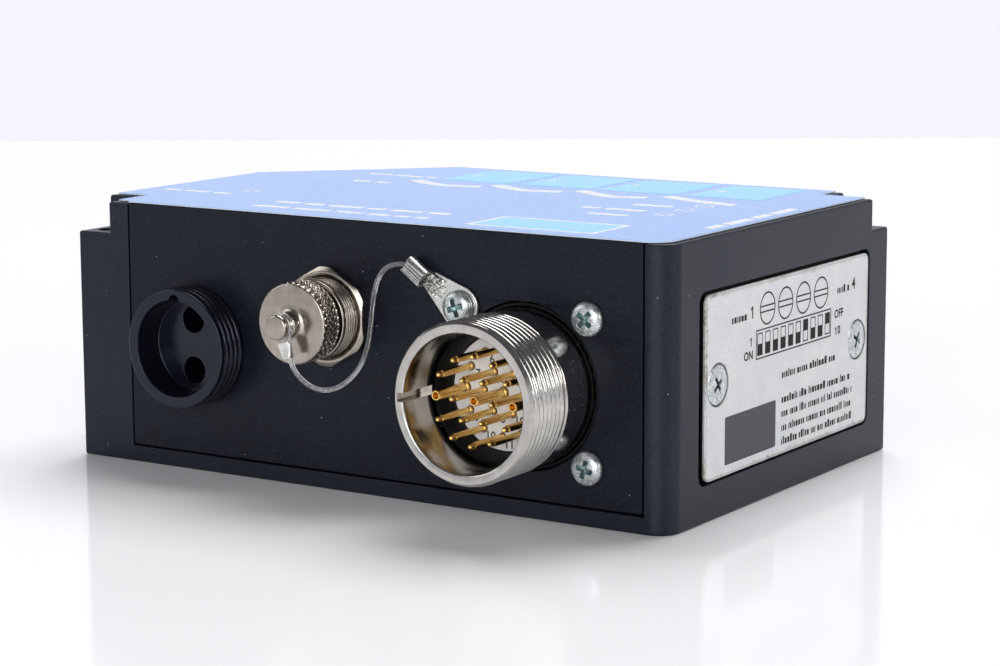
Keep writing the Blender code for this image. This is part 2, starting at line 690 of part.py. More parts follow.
def panel_screws():
    turns = {"terminal": 20, "right_top": 50, "right_bottom": 75, "left_bottom": 10}
    for name, across, up in panel_screw_places():
        seat = SEAT
        if name == "terminal":
            seat = 2 * SEAT + TERMINAL_THICKNESS
        top = seat + PANEL_SCREW_HEAD_HEIGHT
        radius = PANEL_SCREW_HEAD_RADIUS
        dome = [(0, top), (radius * 0.45, top - 0.06 * MM), (radius * 0.8, top - 0.35 * MM),
                (radius * 0.96, top - 0.8 * MM), (radius, seat + 0.2 * MM), (radius * 0.97, seat)]
        shank = [(PANEL_SCREW_RADIUS, seat), (PANEL_SCREW_RADIUS, -PANEL_SCREW_REACH),
                 (0, -PANEL_SCREW_REACH - 0.4 * MM)]
        centre = spot(across, 0, up)
        screw = turned("panel_screw_" + name, dome + shank, SMALL_STEPS, centre, FORWARD, ZINC)
        cross_recess(screw, top, centre, FORWARD, turns[name])


def side_cover():
    base = side_corner()
    top = -cover_recess_depth() + COVER_GASKET_THICKNESS + 2 * SEAT
    low = (COVER_FRONT, COVER_BOTTOM)
    high = (COVER_FRONT + COVER_LENGTH, COVER_BOTTOM + COVER_HEIGHT)
    cover = plate("side_cover", [rounded_rectangle(low, high, COVER_CORNER_RADIUS)],
                  top, top + COVER_THICKNESS, base, RIGHT, PLATE_METAL)
    gasket_inner = [(SETTING_FRONT, SETTING_BOTTOM),
                    (SETTING_FRONT + SETTING_LENGTH, SETTING_BOTTOM + SETTING_HEIGHT)]
    outlines = [rounded_rectangle(low, high, COVER_CORNER_RADIUS),
                rounded_rectangle(*gasket_inner, COVER_CORNER_RADIUS)]
    for depth in COVER_SCREW_DEPTHS:
        outlines.append(ring((depth, COVER_SCREW_HEIGHT), COVER_SCREW_RADIUS + FIT, TINY_STEPS))
    plate("cover_gasket", outlines, top - SEAT - COVER_GASKET_THICKNESS, top - SEAT, base, RIGHT, RUBBER)
    face = top + COVER_THICKNESS
    head = COVER_SCREW_HEAD_RADIUS
    cone = COVER_THICKNESS - SEAT
    for name, depth, turn in zip(("front", "rear"), COVER_SCREW_DEPTHS, (35, 60)):
        centre = behind(HOUSING_WIDTH, depth, COVER_SCREW_HEIGHT)
        sink = [(0, face + CUT), (head + SEAT, face + CUT), (head + SEAT, face - 0.2 * MM),
                (COVER_SCREW_RADIUS + SEAT, face - cone), (COVER_SCREW_RADIUS + SEAT, face - CUT),
                (0, face - CUT)]
        cut(cover, turned("countersink_cutter", sink, SMALL_STEPS, centre, RIGHT))
        profile = [(0, face + 0.1 * MM), (head * 0.7, face + 0.05 * MM), (head, face - 0.1 * MM),
                   (head, face - 0.2 * MM), (COVER_SCREW_RADIUS, face - cone),
                   (COVER_SCREW_RADIUS, face - COVER_SCREW_LENGTH), (0, face - COVER_SCREW_LENGTH)]
        screw = turned("cover_screw_" + name, profile, SMALL_STEPS, centre, RIGHT, ZINC)
        cross_recess(screw, face, centre, RIGHT, turn)


def fibre_collar():
    centre = spot(COLLAR_ACROSS, 0, COLLAR_UP)
    front, floor = COLLAR_FORWARD, COLLAR_CUP_FLOOR
    profile = [(0, floor), (COLLAR_CUP_RADIUS, floor), (COLLAR_MOUTH_RADIUS, front),
               (COLLAR_FACE_RADIUS, front)]
    start = front - COLLAR_LEAD
    profile += ridges(COLLAR_CREST_RADIUS, COLLAR_ROOT_RADIUS, start, COLLAR_PITCH, COLLAR_TURNS)
    profile += [(COLLAR_CREST_RADIUS, SEAT), (COLLAR_NECK_RADIUS, SEAT),
                (COLLAR_NECK_RADIUS, -COLLAR_REACH), (0, -COLLAR_REACH)]
    collar = turned("fibre_collar", profile, FINE_STEPS, centre, FORWARD, BLACK_PLASTIC)
    notch_centre = centre + Vector((0, 0, COLLAR_MOUTH_RADIUS - 0.1 * MM))
    cut(collar, cylinder("key_notch_cutter", COLLAR_NOTCH_RADIUS, floor, front + CUT, notch_centre,
                         FORWARD, steps=TINY_STEPS))
    for sign in (-1, 1):
        hole_centre = centre + Vector((0, 0, sign * FIBRE_HOLE_OFFSET))
        cut(collar, cylinder("fibre_hole_cutter", FIBRE_HOLE_RADIUS, -COLLAR_REACH - CUT, floor + CUT,
                             hole_centre, FORWARD, steps=SMALL_STEPS))
    nut_front = -PANEL_THICKNESS - FIT
    plate("collar_nut", [hexagon(COLLAR_NUT_FLATS), ring((0, 0), COLLAR_NECK_RADIUS + FIT, MEDIUM_STEPS)],
          nut_front - COLLAR_NUT_THICKNESS, nut_front, centre, FORWARD, BLACK_PLASTIC)


def optics():
    front = -COLLAR_REACH - FIT
    rear = front - OPTICS_LENGTH
    centre = spot(COLLAR_ACROSS, 0, COLLAR_UP)
    low = (-OPTICS_WIDTH / 2, -OPTICS_HEIGHT / 2)
    high = (OPTICS_WIDTH / 2, OPTICS_HEIGHT / 2)
    outlines = [rounded_rectangle(low, high, 1.0 * MM, 2)]
    for sign in (-1, 1):
        outlines.append(ring((0, sign * FIBRE_HOLE_OFFSET), EMITTER_RADIUS + FIT, SMALL_STEPS))
    plate("optics_block", outlines, rear, front, centre, FORWARD, BLACK_PLASTIC)
    for name, sign, material in (("light_source", 1, CLEAR_PLASTIC), ("colour_receiver", -1, DARK_GLASS)):
        flange = rear - FIT
        dome_top = flange + EMITTER_LENGTH
        profile = [(0, dome_top), (EMITTER_RADIUS * 0.6, dome_top - 0.5 * MM),
                   (EMITTER_RADIUS * 0.9, dome_top - 1.3 * MM), (EMITTER_RADIUS, dome_top - 2.5 * MM),
                   (EMITTER_RADIUS, flange), (EMITTER_FLANGE_RADIUS, flange),
                   (EMITTER_FLANGE_RADIUS, flange - 1.0 * MM), (0, flange - 1.0 * MM)]
        place = centre + Vector((0, 0, sign * FIBRE_HOLE_OFFSET))
        turned(name, profile, SMALL_STEPS, place, FORWARD, material)


def service_connector():
    centre = spot(SERVICE_ACROSS, 0, SERVICE_UP)
    flange = -PANEL_THICKNESS - FIT
    profile = [(SPIGOT_BORE, SPIGOT_FORWARD), (SPIGOT_RADIUS, SPIGOT_FORWARD),
               (SPIGOT_RADIUS, SLEEVE_FORWARD), (SLEEVE_RADIUS - 0.3 * MM, SLEEVE_FORWARD),
               (SLEEVE_RADIUS, SLEEVE_FORWARD - 0.3 * MM), (SLEEVE_RADIUS, flange),
               (SLEEVE_FLANGE_RADIUS, flange), (SLEEVE_FLANGE_RADIUS, flange - SLEEVE_FLANGE_THICKNESS),
               (SLEEVE_RADIUS, flange - SLEEVE_FLANGE_THICKNESS), (SLEEVE_RADIUS, -SLEEVE_REACH),
               (SPIGOT_BORE, -SLEEVE_REACH)]
    turned("service_sleeve", profile, MEDIUM_STEPS, centre, FORWARD, NICKEL, closed=True)
    insert_radius = SPIGOT_BORE - FIT
    insert = turned("service_insert",
                    [(0, SLEEVE_FORWARD), (insert_radius, SLEEVE_FORWARD),
                     (insert_radius, -SLEEVE_REACH), (0, -SLEEVE_REACH)],
                    SMALL_STEPS, centre, FORWARD, BLACK_PLASTIC)
    for angle in range(45, 360, 90):
        offset = Matrix.Rotation(math.radians(angle), 3, "Y") @ Vector((0, 0, insert_radius * 0.55))
        pin = cylinder("service_pin", 0.4 * MM, -SLEEVE_REACH - 2.5 * MM, SLEEVE_FORWARD + 2.4 * MM,
                       centre + offset, FORWARD, steps=8)
        join(insert, pin)
    apothem, corner = NUT_FLATS / 2, NUT_FLATS / math.sqrt(3)
    nut = plate("service_nut", [hexagon(NUT_FLATS), ring((0, 0), SLEEVE_RADIUS + SEAT, MEDIUM_STEPS)],
                SEAT, NUT_THICKNESS, centre, FORWARD, NICKEL)
    rim = [(apothem, NUT_THICKNESS + CUT), (corner + CUT, NUT_THICKNESS + CUT),
           (corner + CUT, NUT_THICKNESS - NUT_CHAMFER - (corner + CUT - apothem) * 0.3),
           (apothem - 0.1 * MM, NUT_THICKNESS)]
    cut(nut, turned("nut_chamfer_cutter", rim, MEDIUM_STEPS, centre, FORWARD, closed=True))


def screw_cap():
    centre = spot(SERVICE_ACROSS, 0, SERVICE_UP)
    front, back = CAP_FRONT, CAP_FRONT - CAP_LENGTH
    tip = front + STUD_LENGTH
    root = CAP_RADIUS - CAP_KNURL_DEPTH
    base = tip - STUD_HEAD - STUD_GROOVE_LENGTH
    profile = [(0, tip), (STUD_RADIUS - 0.25 * MM, tip), (STUD_RADIUS, tip - 0.2 * MM),
               (STUD_RADIUS, tip - STUD_HEAD), (STUD_GROOVE_RADIUS, tip - STUD_HEAD),
               (STUD_GROOVE_RADIUS, base), (STUD_RADIUS, base), (STUD_RADIUS, front + 0.35 * MM),
               (STUD_RADIUS + 0.35 * MM, front), (root, front), (root, back), (CAP_BORE, back),
               (CAP_BORE, front - CAP_FLOOR), (0, front - CAP_FLOOR)]
    cap = turned("screw_cap", profile, CAP_KNURL_TEETH, centre, FORWARD, NICKEL)
    teeth = []
    pitch = 360 / CAP_KNURL_TEETH
    for i in range(CAP_KNURL_TEETH):
        teeth += arc((0, 0), CAP_RADIUS, (i - 0.2) * pitch, (i + 0.2) * pitch, 1)
        valley = math.radians((i + 0.5) * pitch)
        teeth.append((root * math.cos(valley), root * math.sin(valley)))
    knurl = plate("knurl", [teeth, ring((0, 0), root - OVERLAP, MEDIUM_STEPS)], back + CAP_CHAMFER,
                  front - CAP_CHAMFER, centre, FORWARD)
    join(cap, knurl)


def groove_forward():
    """Middle of the stud's groove, in front of the panel."""
    return CAP_FRONT + STUD_LENGTH - STUD_HEAD - STUD_GROOVE_LENGTH / 2


def ferrule_axis():
    """Top and bottom of the ferrule, hanging from the stud's groove."""
    hub = spot(SERVICE_ACROSS, groove_forward(), SERVICE_UP)
    middle = hub + Vector((FERRULE_LEAN, 0, -FERRULE_DROP))
    along = (hub - middle).normalized()
    return middle + along * FERRULE_LENGTH / 2, middle - along * FERRULE_LENGTH / 2, along


def lanyard():
    top, bottom, along = ferrule_axis()
    hub = spot(SERVICE_ACROSS, groove_forward(), SERVICE_UP)
    side = along.cross(Vector((0, 1, 0)))
    inner = FERRULE_LENGTH / 2
    strand = CORD_RADIUS + 0.03 * MM
    circle = []
    spread = math.radians(38)
    for i in range(LOOP_POINTS + 1):
        angle = spread + (2 * math.pi - 2 * spread) * i / LOOP_POINTS
        circle.append(hub - along * LOOP_RADIUS * math.cos(angle) + side * LOOP_RADIUS * math.sin(angle))
    start = top - along * inner + side * strand
    end = top - along * inner - side * strand
    # The cord leaves the ferrule's right side. Its first stretch, in front of the cap,
    # moves with the cap and belongs to the loop.
    route = [spot(x * MM, y * MM, z * MM) for x, y, z in LANYARD_ROUTE]
    run = smooth_route([bottom - side * strand, *route], CORD_POINT_COUNT)
    clear = CAP_RADIUS + CORD_RADIUS + TAIL_CLEARANCE
    split = 0
    while math.hypot(run[split].x - hub.x, run[split].z - hub.z) < clear:
        split += 1
    tail = run[:split + 1]
    onward = (run[split + 1] - run[split]).normalized()
    points = [start, top + side * strand, *circle, top - side * strand, end, *tail]
    tube("lanyard_loop", points, CORD_RADIUS, NYLON)
    tube("lanyard", [run[split] + onward * FIT, *run[split + 1:]], CORD_RADIUS, NYLON)
    half, wall = FERRULE_WIDTH / 2, FERRULE_WALL
    thin = FERRULE_THICKNESS / 2
    outer = rounded_rectangle((-half, -thin), (half, thin), thin * 0.8, 3)
    bore = rounded_rectangle((-half + wall, -thin + wall), (half - wall, thin - wall), (thin - wall) * 0.8, 3)
    turn = Matrix((side, Vector((0, -1, 0)), along)).transposed().to_4x4()
    if turn.determinant() < 0:
        turn = Matrix((-side, Vector((0, -1, 0)), along)).transposed().to_4x4()
    plate("lanyard_ferrule", [outer, bore], -FERRULE_LENGTH / 2, FERRULE_LENGTH / 2,
          (top + bottom) / 2, turn, ALUMINIUM)


def ring_terminal():
    _, screw_across, screw_up = panel_screw_places()[0]
    hub = Vector((screw_across, screw_up))
    mouth = hub + Vector(TERMINAL_BARREL_OFFSET)
    along = (hub - mouth).normalized()
    reach = (hub - mouth).length
    heel = TERMINAL_BARREL_LENGTH - reach
    side = Vector((-along.y, along.x))
    neck = TERMINAL_NECK_WIDTH / 2
    facing = FORWARD @ Matrix.Rotation(math.atan2(along.y, along.x), 4, "Z")
    centre = spot(hub.x, 0, hub.y)
    shoulder = math.degrees(math.acos(neck / TERMINAL_RING_RADIUS)) + TERMINAL_SHOULDER_DEGREES
    outline = [(heel - 0.6 * MM, -neck), (heel + 0.5 * MM, -neck),
               *arc((0, 0), TERMINAL_RING_RADIUS, -shoulder, shoulder, SMALL_STEPS),
               (heel + 0.5 * MM, neck), (heel - 0.6 * MM, neck)]
    hole = ring((0, 0), PANEL_SCREW_RADIUS + FIT, TINY_STEPS)
    tongue = plate("ring_terminal", [outline, hole], SEAT, SEAT + TERMINAL_THICKNESS, centre, facing, TINNED)
    barrel = TERMINAL_BARREL_RADIUS
    axis_height = TERMINAL_BARREL_FORWARD
    rings = [ring((0, 0), barrel, SMALL_STEPS), ring((0, 0), TERMINAL_BARREL_BORE, TINY_STEPS)]
    sleeve = plate("terminal_barrel", rings, 0, TERMINAL_BARREL_LENGTH, Vector((0, 0, 0)), UP)
    direction = Vector((along.x, 0, along.y))
    across = Vector((side.x, 0, side.y))
    turn = Matrix((across, direction.cross(across), direction)).transposed().to_4x4()
    shift = Matrix.Translation((0, 0, TERMINAL_BARREL_LENGTH / 2))
    sleeve.matrix_world = Matrix.Translation(spot(mouth.x, axis_height, mouth.y)) @ turn @ shift
    foot = box("terminal_foot", (heel - 0.6 * MM, -neck * 0.8, SEAT),
               (heel + 0.3 * MM, neck * 0.8, axis_height - TERMINAL_BARREL_BORE - 0.1 * MM))
    foot.matrix_world = Matrix.Translation(centre) @ facing
    join(tongue, foot, sleeve)


def main_connector():
    centre = spot(MAIN_ACROSS, 0, MAIN_UP)
    front = SHELL_FORWARD
    profile = [(SHELL_MOUTH_RADIUS + SHELL_MOUTH_CHAMFER, front), (SHELL_RADIUS - 0.3 * MM, front)]
    start = front - SHELL_THREAD_START
    profile += ridges(SHELL_RADIUS, SHELL_THREAD_ROOT, start, SHELL_THREAD_PITCH, SHELL_THREAD_TURNS)
    back = start - SHELL_THREAD_TURNS * SHELL_THREAD_PITCH
    flange_front = -PANEL_THICKNESS - FIT
    flange_back = flange_front - FLANGE_THICKNESS
    profile += [(SHELL_RADIUS, back), (SHELL_BARREL_RADIUS, back - 0.2 * MM),
                (SHELL_BARREL_RADIUS, flange_back), (SHELL_TAIL_RADIUS, flange_back),
                (SHELL_TAIL_RADIUS, -SHELL_REACH), (SHELL_BORE, -SHELL_REACH),
                (SHELL_BORE, SHELL_STEP_FORWARD), (SHELL_MOUTH_RADIUS, SHELL_STEP_FORWARD),
                (SHELL_MOUTH_RADIUS, front - SHELL_MOUTH_CHAMFER)]
    shell = turned("main_shell", profile, FINE_STEPS, centre, FORWARD, NICKEL, closed=True)
    half = FLANGE_SIDE / 2
    outlines = [rounded_rectangle((-half, -half), (half, half), FLANGE_CORNER_RADIUS),
                ring((0, 0), SHELL_BARREL_RADIUS - OVERLAP, FINE_STEPS)]
    for _, across, up in panel_screw_places():
        outlines.append(ring((across - MAIN_ACROSS, up - MAIN_UP), PANEL_SCREW_RADIUS + FIT, TINY_STEPS))
    join(shell, plate("flange", outlines, flange_back, flange_front, centre, FORWARD))
    keyway = box("keyway_cutter", (-SHELL_MOUTH_RADIUS - KEYWAY_DEPTH, -KEYWAY_WIDTH / 2, SEAL_FORWARD),
                 (-SHELL_MOUTH_RADIUS + CUT, KEYWAY_WIDTH / 2, front + CUT))
    keyway.matrix_world = Matrix.Translation(centre) @ FORWARD
    cut(shell, keyway)
    outer, inner = SHELL_MOUTH_RADIUS - FIT, SHELL_BORE - 0.1 * MM
    seal = [(inner + SEAL_LIP, SEAL_FORWARD), (outer, SEAL_FORWARD), (outer, SHELL_STEP_FORWARD + FIT),
            (inner, SHELL_STEP_FORWARD + FIT), (inner, SEAL_FORWARD - 1.6 * MM),
            (inner + SEAL_LIP, SEAL_FORWARD - 0.9 * MM)]
    turned("main_seal", seal, MEDIUM_STEPS, centre, FORWARD, RUBBER, closed=True)
    gasket = [ring((0, 0), SHELL_HOLE_RADIUS - SEAT, FINE_STEPS),
              ring((0, 0), SHELL_BARREL_RADIUS + SEAT, FINE_STEPS)]
    plate("main_gasket", gasket, -PANEL_THICKNESS, -GASKET_SINK, centre, FORWARD, RUBBER)


def contact_places():
    """Name, offset across, offset up and thickness class of each contact."""
    places = [("contact_centre", 0.0, 0.0, True)]
    for count, radius, label in ((12, CONTACT_OUTER_CIRCLE, "outer"), (6, CONTACT_INNER_CIRCLE, "inner")):
        for i in range(count):
            angle = math.radians(CONTACT_TURN_DEGREES + 360 * i / count)
            thick = label == "outer" and i % 6 == 0
            places.append((f"contact_{label}_{i + 1:02d}", radius * math.cos(angle),
                           radius * math.sin(angle), thick))
    return places


def contacts():
    centre = spot(MAIN_ACROSS, 0, MAIN_UP)
    outlines = [ring((0, 0), SHELL_BORE - FIT, FINE_STEPS)]
    for name, across, up, thick in contact_places():
        radius = THICK_CONTACT_RADIUS if thick else CONTACT_RADIUS
        outlines.append(ring((across, up), radius + PIN_FIT, COARSE_STEPS))
        place = centre + Vector((across, 0, up))
        if thick:
            tip, bore, deep = THICK_CONTACT_FORWARD, THICK_CONTACT_BORE, THICK_CONTACT_BORE_DEPTH
            profile = [(0, tip - deep), (bore, tip - deep), (bore, tip), (radius - 0.1 * MM, tip),
                       (radius, tip - 0.12 * MM)]
        else:
            tip, ball, neck = CONTACT_FORWARD, CONTACT_TIP_RADIUS, CONTACT_NECK_RADIUS
            profile = [(0, tip), (ball * 0.7, tip - 0.08 * MM), (ball, tip - 0.35 * MM),
                       (neck, tip - 0.75 * MM), (radius, tip - 1.0 * MM)]
        profile += [(radius, -CONTACT_REACH), (0, -CONTACT_REACH)]
        turned(name, profile, TINY_STEPS, place, FORWARD, GOLD)
    plate("main_insert", outlines, INSERT_FORWARD - INSERT_LENGTH, INSERT_FORWARD, centre, FORWARD,
          WHITE_PLASTIC)


def main_board():
    low, high = MAIN_BOARD_BOTTOM, MAIN_BOARD_BOTTOM + BOARD_THICKNESS
    block_left = HOUSING_WIDTH - REAR_BLOCK_WIDTH - BOARD_MARGIN
    block_front = HOUSING_DEPTH - REAR_BLOCK_DEPTH - BOARD_MARGIN
    slant = BOARD_REAR - CORNER_CHAMFER + BOARD_LEFT - WALL + BOARD_MARGIN
    outline = [(BOARD_LEFT, BOARD_FRONT), (BOARD_RIGHT, BOARD_FRONT), (BOARD_RIGHT, block_front),
               (block_left, block_front), (block_left, BOARD_REAR),
               (BOARD_LEFT + BOARD_REAR - slant, BOARD_REAR), (BOARD_LEFT, slant)]
    holes = [ring((across, depth), BOARD_SCREW_RADIUS + FIT, TINY_STEPS) for _, across, depth in BOARD_SCREWS]
    board = plate("main_board", [outline, *holes], low, high, plan_corner(), UP, BOARD_GREEN)
    top = HOUSING_HEIGHT - FIT
    for left in window_lefts():
        lamp = box("window_lamp", behind(left + FIT * 2, WINDOW_FRONT + FIT * 2, high - OVERLAP),
                   behind(left + WINDOW_WIDTH - FIT * 2, BOARD_REAR - FIT * 2, top))
        join(board, lamp)
    for across, depth in lamp_places():
        join(board, cylinder("dot_lamp", LAMP_RADIUS, high - OVERLAP, top, behind(across, depth, 0), UP,
                             steps=TINY_STEPS))
    chip_corner = behind(*CHIP_PLACE, low - CHIP_HEIGHT)
    join(board, box("processor", chip_corner,
                    chip_corner + Vector((CHIP_SIDE, CHIP_SIDE, CHIP_HEIGHT + OVERLAP))))
    for name, across, depth in BOARD_SCREWS:
        head_top = low - FIT
        profile = [(0, head_top + BOARD_SCREW_REACH + BOARD_THICKNESS), (BOARD_SCREW_RADIUS, head_top
                    + BOARD_SCREW_REACH + BOARD_THICKNESS), (BOARD_SCREW_RADIUS, head_top),
                   (BOARD_SCREW_HEAD_RADIUS, head_top),
                   (BOARD_SCREW_HEAD_RADIUS, head_top - BOARD_SCREW_HEAD_HEIGHT),
                   (0, head_top - BOARD_SCREW_HEAD_HEIGHT)]
        turned("board_screw_" + name, profile, TINY_STEPS, behind(across, depth, 0), UP, ZINC)


def side_board():
    face = SIDE_BOARD_FACE
    front = SETTING_CENTRE - SIDE_BOARD_LENGTH / 2
    box("side_board", behind(face - BOARD_THICKNESS, front, SIDE_BOARD_BOTTOM),
        behind(face, front + SIDE_BOARD_LENGTH, MAIN_BOARD_BOTTOM - FIT), BOARD_GREEN)
    start = SETTING_CENTRE - SWITCH_BLOCK_LENGTH / 2
    low = behind(face + FIT, start, SWITCH_BLOCK_BOTTOM)
    high = behind(face + FIT + SWITCH_BLOCK_RISE, start + SWITCH_BLOCK_LENGTH,
                  SWITCH_BLOCK_BOTTOM + SWITCH_BLOCK_HEIGHT)
    block = box("switch_block", low, high, RED_PLASTIC)
    middle_up = SWITCH_BLOCK_BOTTOM + SWITCH_BLOCK_HEIGHT / 2
    top = face + FIT + SWITCH_BLOCK_RISE
    for i in range(SWITCH_COUNT):
        depth = SETTING_CENTRE + (i - (SWITCH_COUNT - 1) / 2) * SWITCH_PITCH
        half_width, half_length = SWITCH_SLOT_WIDTH / 2, SWITCH_SLOT_LENGTH / 2
        slot = box("switch_slot_cutter",
                   behind(top - SWITCH_SLOT_DEPTH, depth - half_width, middle_up - half_length),
                   behind(top + CUT, depth + half_width, middle_up + half_length))
        cut(block, slot)
        shift = half_length - SWITCH_KNOB_LENGTH / 2
        up = middle_up + (shift if i in SWITCH_UP_INDEX else -shift)
        knob = box("switch_knob", behind(top - SWITCH_SLOT_DEPTH - OVERLAP, depth - 0.35 * MM,
                                         up - SWITCH_KNOB_LENGTH / 2 + 0.1 * MM),
                   behind(top + SWITCH_KNOB_RISE - SWITCH_SLOT_DEPTH, depth + 0.35 * MM,
                          up + SWITCH_KNOB_LENGTH / 2 - 0.1 * MM))
        join(block, knob)
    for i in range(TRIMMER_COUNT):
        trimmer(i + 1, SETTING_CENTRE + (i - (TRIMMER_COUNT - 1) / 2) * TRIMMER_PITCH)


def trimmer(number, depth):
    face = SIDE_BOARD_FACE + FIT
    half = TRIMMER_SIDE / 2
    body = box(f"trimmer_{number}", behind(face, depth - half, TRIMMER_HEIGHT - half),
               behind(face + TRIMMER_RISE, depth + half, TRIMMER_HEIGHT + half), TRIMMER_BLUE)
    centre = behind(face + TRIMMER_RISE, depth, TRIMMER_HEIGHT)
    well = cylinder("rotor_well_cutter", ROTOR_RADIUS + PIN_FIT, -ROTOR_DEPTH, CUT, centre, RIGHT,
                    steps=SMALL_STEPS)
    cut(body, well)
    rotor = cylinder(f"trimmer_rotor_{number}", ROTOR_RADIUS, -ROTOR_DEPTH + PIN_FIT, ROTOR_RISE, centre,
                     RIGHT, WHITE_PLASTIC, steps=SMALL_STEPS)
    reach, half_slot = ROTOR_RADIUS * 0.8, ROTOR_SLOT_WIDTH / 2
    slot = box("rotor_slot_cutter", (-reach, -half_slot, ROTOR_RISE - ROTOR_SLOT_DEPTH),
               (reach, half_slot, ROTOR_RISE + CUT))
    slot.matrix_world = Matrix.Translation(centre) @ RIGHT
    cut(rotor, slot)


clear_scene()
PARTS = new_collection("colour_sensor")
CUTTERS = new_collection("cutters")

BLACK_METAL = paint("black_metal", (0.018, 0.019, 0.022), 0.45, 0.6)
BLUE_FOIL = paint("blue_foil", (0.10, 0.26, 0.72), 0.35)
BLACK_PLASTIC = paint("black_plastic", (0.012, 0.012, 0.014), 0.3)
PLATE_METAL = paint("plate_metal", (0.62, 0.62, 0.60), 0.4, 0.6)
RUBBER = paint("rubber", (0.01, 0.01, 0.01), 0.6)
ZINC = paint("zinc", (0.72, 0.76, 0.78), 0.25, 1.0)
NICKEL = paint("nickel", (0.74, 0.70, 0.64), 0.22, 1.0)
TINNED = paint("tinned", (0.80, 0.79, 0.76), 0.25, 1.0)
ALUMINIUM = paint("aluminium", (0.85, 0.84, 0.82), 0.3, 1.0)
NYLON = paint("nylon", (0.75, 0.77, 0.80), 0.15)
WHITE_PLASTIC = paint("white_plastic", (0.85, 0.84, 0.80), 0.4)
GOLD = paint("gold", (0.90, 0.62, 0.20), 0.22, 1.0)
BOARD_GREEN = paint("board_green", (0.02, 0.16, 0.07), 0.5)
RED_PLASTIC = paint("red_plastic", (0.45, 0.03, 0.02), 0.4)
TRIMMER_BLUE = paint("trimmer_blue", (0.03, 0.10, 0.45), 0.4)
CLEAR_PLASTIC = paint("clear_plastic", (0.85, 0.86, 0.88), 0.1)
DARK_GLASS = paint("dark_glass", (0.03, 0.03, 0.04), 0.1)

housing()
top_foil()
front_panel()
panel_screws()
side_cover()
fibre_collar()
optics()
service_connector()
screw_cap()
lanyard()
ring_terminal()
main_connector()
contacts()
main_board()
side_board()
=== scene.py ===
"""Looks of the fibre-optic colour sensor: fine surfaces, prints, materials, light and camera.

Sizes are in millimetres from the left side, the front face and the underside, as someone
facing the connector panel sees them, and become metres when a mesh is made.
"""
import math
import random

import bmesh
import bpy
from mathutils import Matrix, Vector, noise


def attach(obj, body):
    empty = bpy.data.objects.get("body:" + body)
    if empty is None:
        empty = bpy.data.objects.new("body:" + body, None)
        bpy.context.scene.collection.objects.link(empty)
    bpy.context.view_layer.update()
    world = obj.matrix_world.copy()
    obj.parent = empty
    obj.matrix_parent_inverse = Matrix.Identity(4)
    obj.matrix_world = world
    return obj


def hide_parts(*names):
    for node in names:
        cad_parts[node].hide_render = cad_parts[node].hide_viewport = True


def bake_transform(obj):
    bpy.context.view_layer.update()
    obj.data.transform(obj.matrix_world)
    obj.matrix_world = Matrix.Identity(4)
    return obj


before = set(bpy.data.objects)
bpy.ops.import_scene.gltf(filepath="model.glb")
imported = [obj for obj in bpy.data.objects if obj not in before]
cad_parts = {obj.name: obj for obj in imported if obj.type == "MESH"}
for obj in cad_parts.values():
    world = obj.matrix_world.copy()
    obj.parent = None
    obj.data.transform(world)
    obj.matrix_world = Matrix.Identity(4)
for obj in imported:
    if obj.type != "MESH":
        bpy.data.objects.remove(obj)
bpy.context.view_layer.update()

MM = 0.001

# Housing
WIDTH = 105.0
DEPTH = 69.5
HEIGHT = 40.25
CORNER_CHAMFER = 25.0
CORNER_RADIUS = 3.5
HOUSING_EDGE = 0.4
LEDGE_HEIGHT = 35.4
FRONT_LEDGE = (6.2, 7.4)
REAR_LEDGE = (7.6, 5.6)
HOLE_RADIUS = 1.7
HOLES = ((3.1, 3.7), (WIDTH - 3.8, DEPTH - 2.8))
PANEL_LEFT = 10.0
PANEL_RIGHT = WIDTH - 3.85
PANEL_BOTTOM = 2.5
PANEL_THICKNESS = 3.0
FIT = 0.3
COVER_LOW = (10.3, 5.7)
COVER_HIGH = (62.5, 32.15)
COVER_THICKNESS = 0.5
COVER_RECESS = ((8.5, 5.35), (62.95, 32.75))
COVER_FACE = 0.0
COVER_SCREWS = ((14.0, 19.1), (58.8, 19.1))
RECESS_FLOOR = -1.8
FOIL_TOP = HEIGHT + 0.35
EDGE_LABEL = (100.9, 100.9 + 1.7)
FOIL_MARGIN = 1.0
FOIL_FRONT = 0.35
DISPLAY = ((70.6, 3.9), (90.4, 13.1))
TRIMMER_HEIGHT = 28.0

# Connectors
COLLAR = (23.2, 19.6)
SERVICE = (48.2, 26.05)
MAIN = (81.85, 18.83)
SCREW_OFFSET = 10.45
SCREW_HOLE = 1.55
CORNERS = ((-1, 1), (1, 1), (1, -1), (-1, -1))
SHELL_FRONT = 15.7
SHELL_CREST = 11.4
SHELL_ROOT = 10.8
INSERT_FRONT = 5.3
SHELL_SHIFT = 0.4
OUTER_CIRCLE = 6.24
INNER_CIRCLE = 3.2
CONTACT_TURN = -1.6

# Cord: its radius, and its route from the terminal to the ferrule
CORD_RADIUS = 0.35
CORD_ROUTE = (
    (64.12, 1.75, 34.37), (63.21, 1.75, 34.83), (62.2, 1.8, 34.9), (61.0, 1.95, 34.7),
    (59.85, 2.2, 34.1), (59.05, 2.6, 32.9), (58.75, 3.2, 31.2), (58.9, 4.1, 28.7), (59.3, 5.2, 26.1),
    (59.6, 6.3, 23.7), (59.5, 7.3, 21.7), (58.8, 8.2, 19.9), (57.7, 9.1, 18.5),
    (56.4, 9.7, 17.65), (55.0, 10.2, 17.3), (53.6, 10.7, 17.45), (52.1, 11.1, 18.2),
    (50.8, 11.4, 19.4), (50.0, 11.5, 20.7),
)
GROOVE_FORWARD = 11.5
LOOP_RADIUS = 1.8
FERRULE_SIZE = (2.1, 1.3, 2.4)
FERRULE_MIDDLE = (SERVICE[0] + 0.9, SERVICE[1] - 3.35)

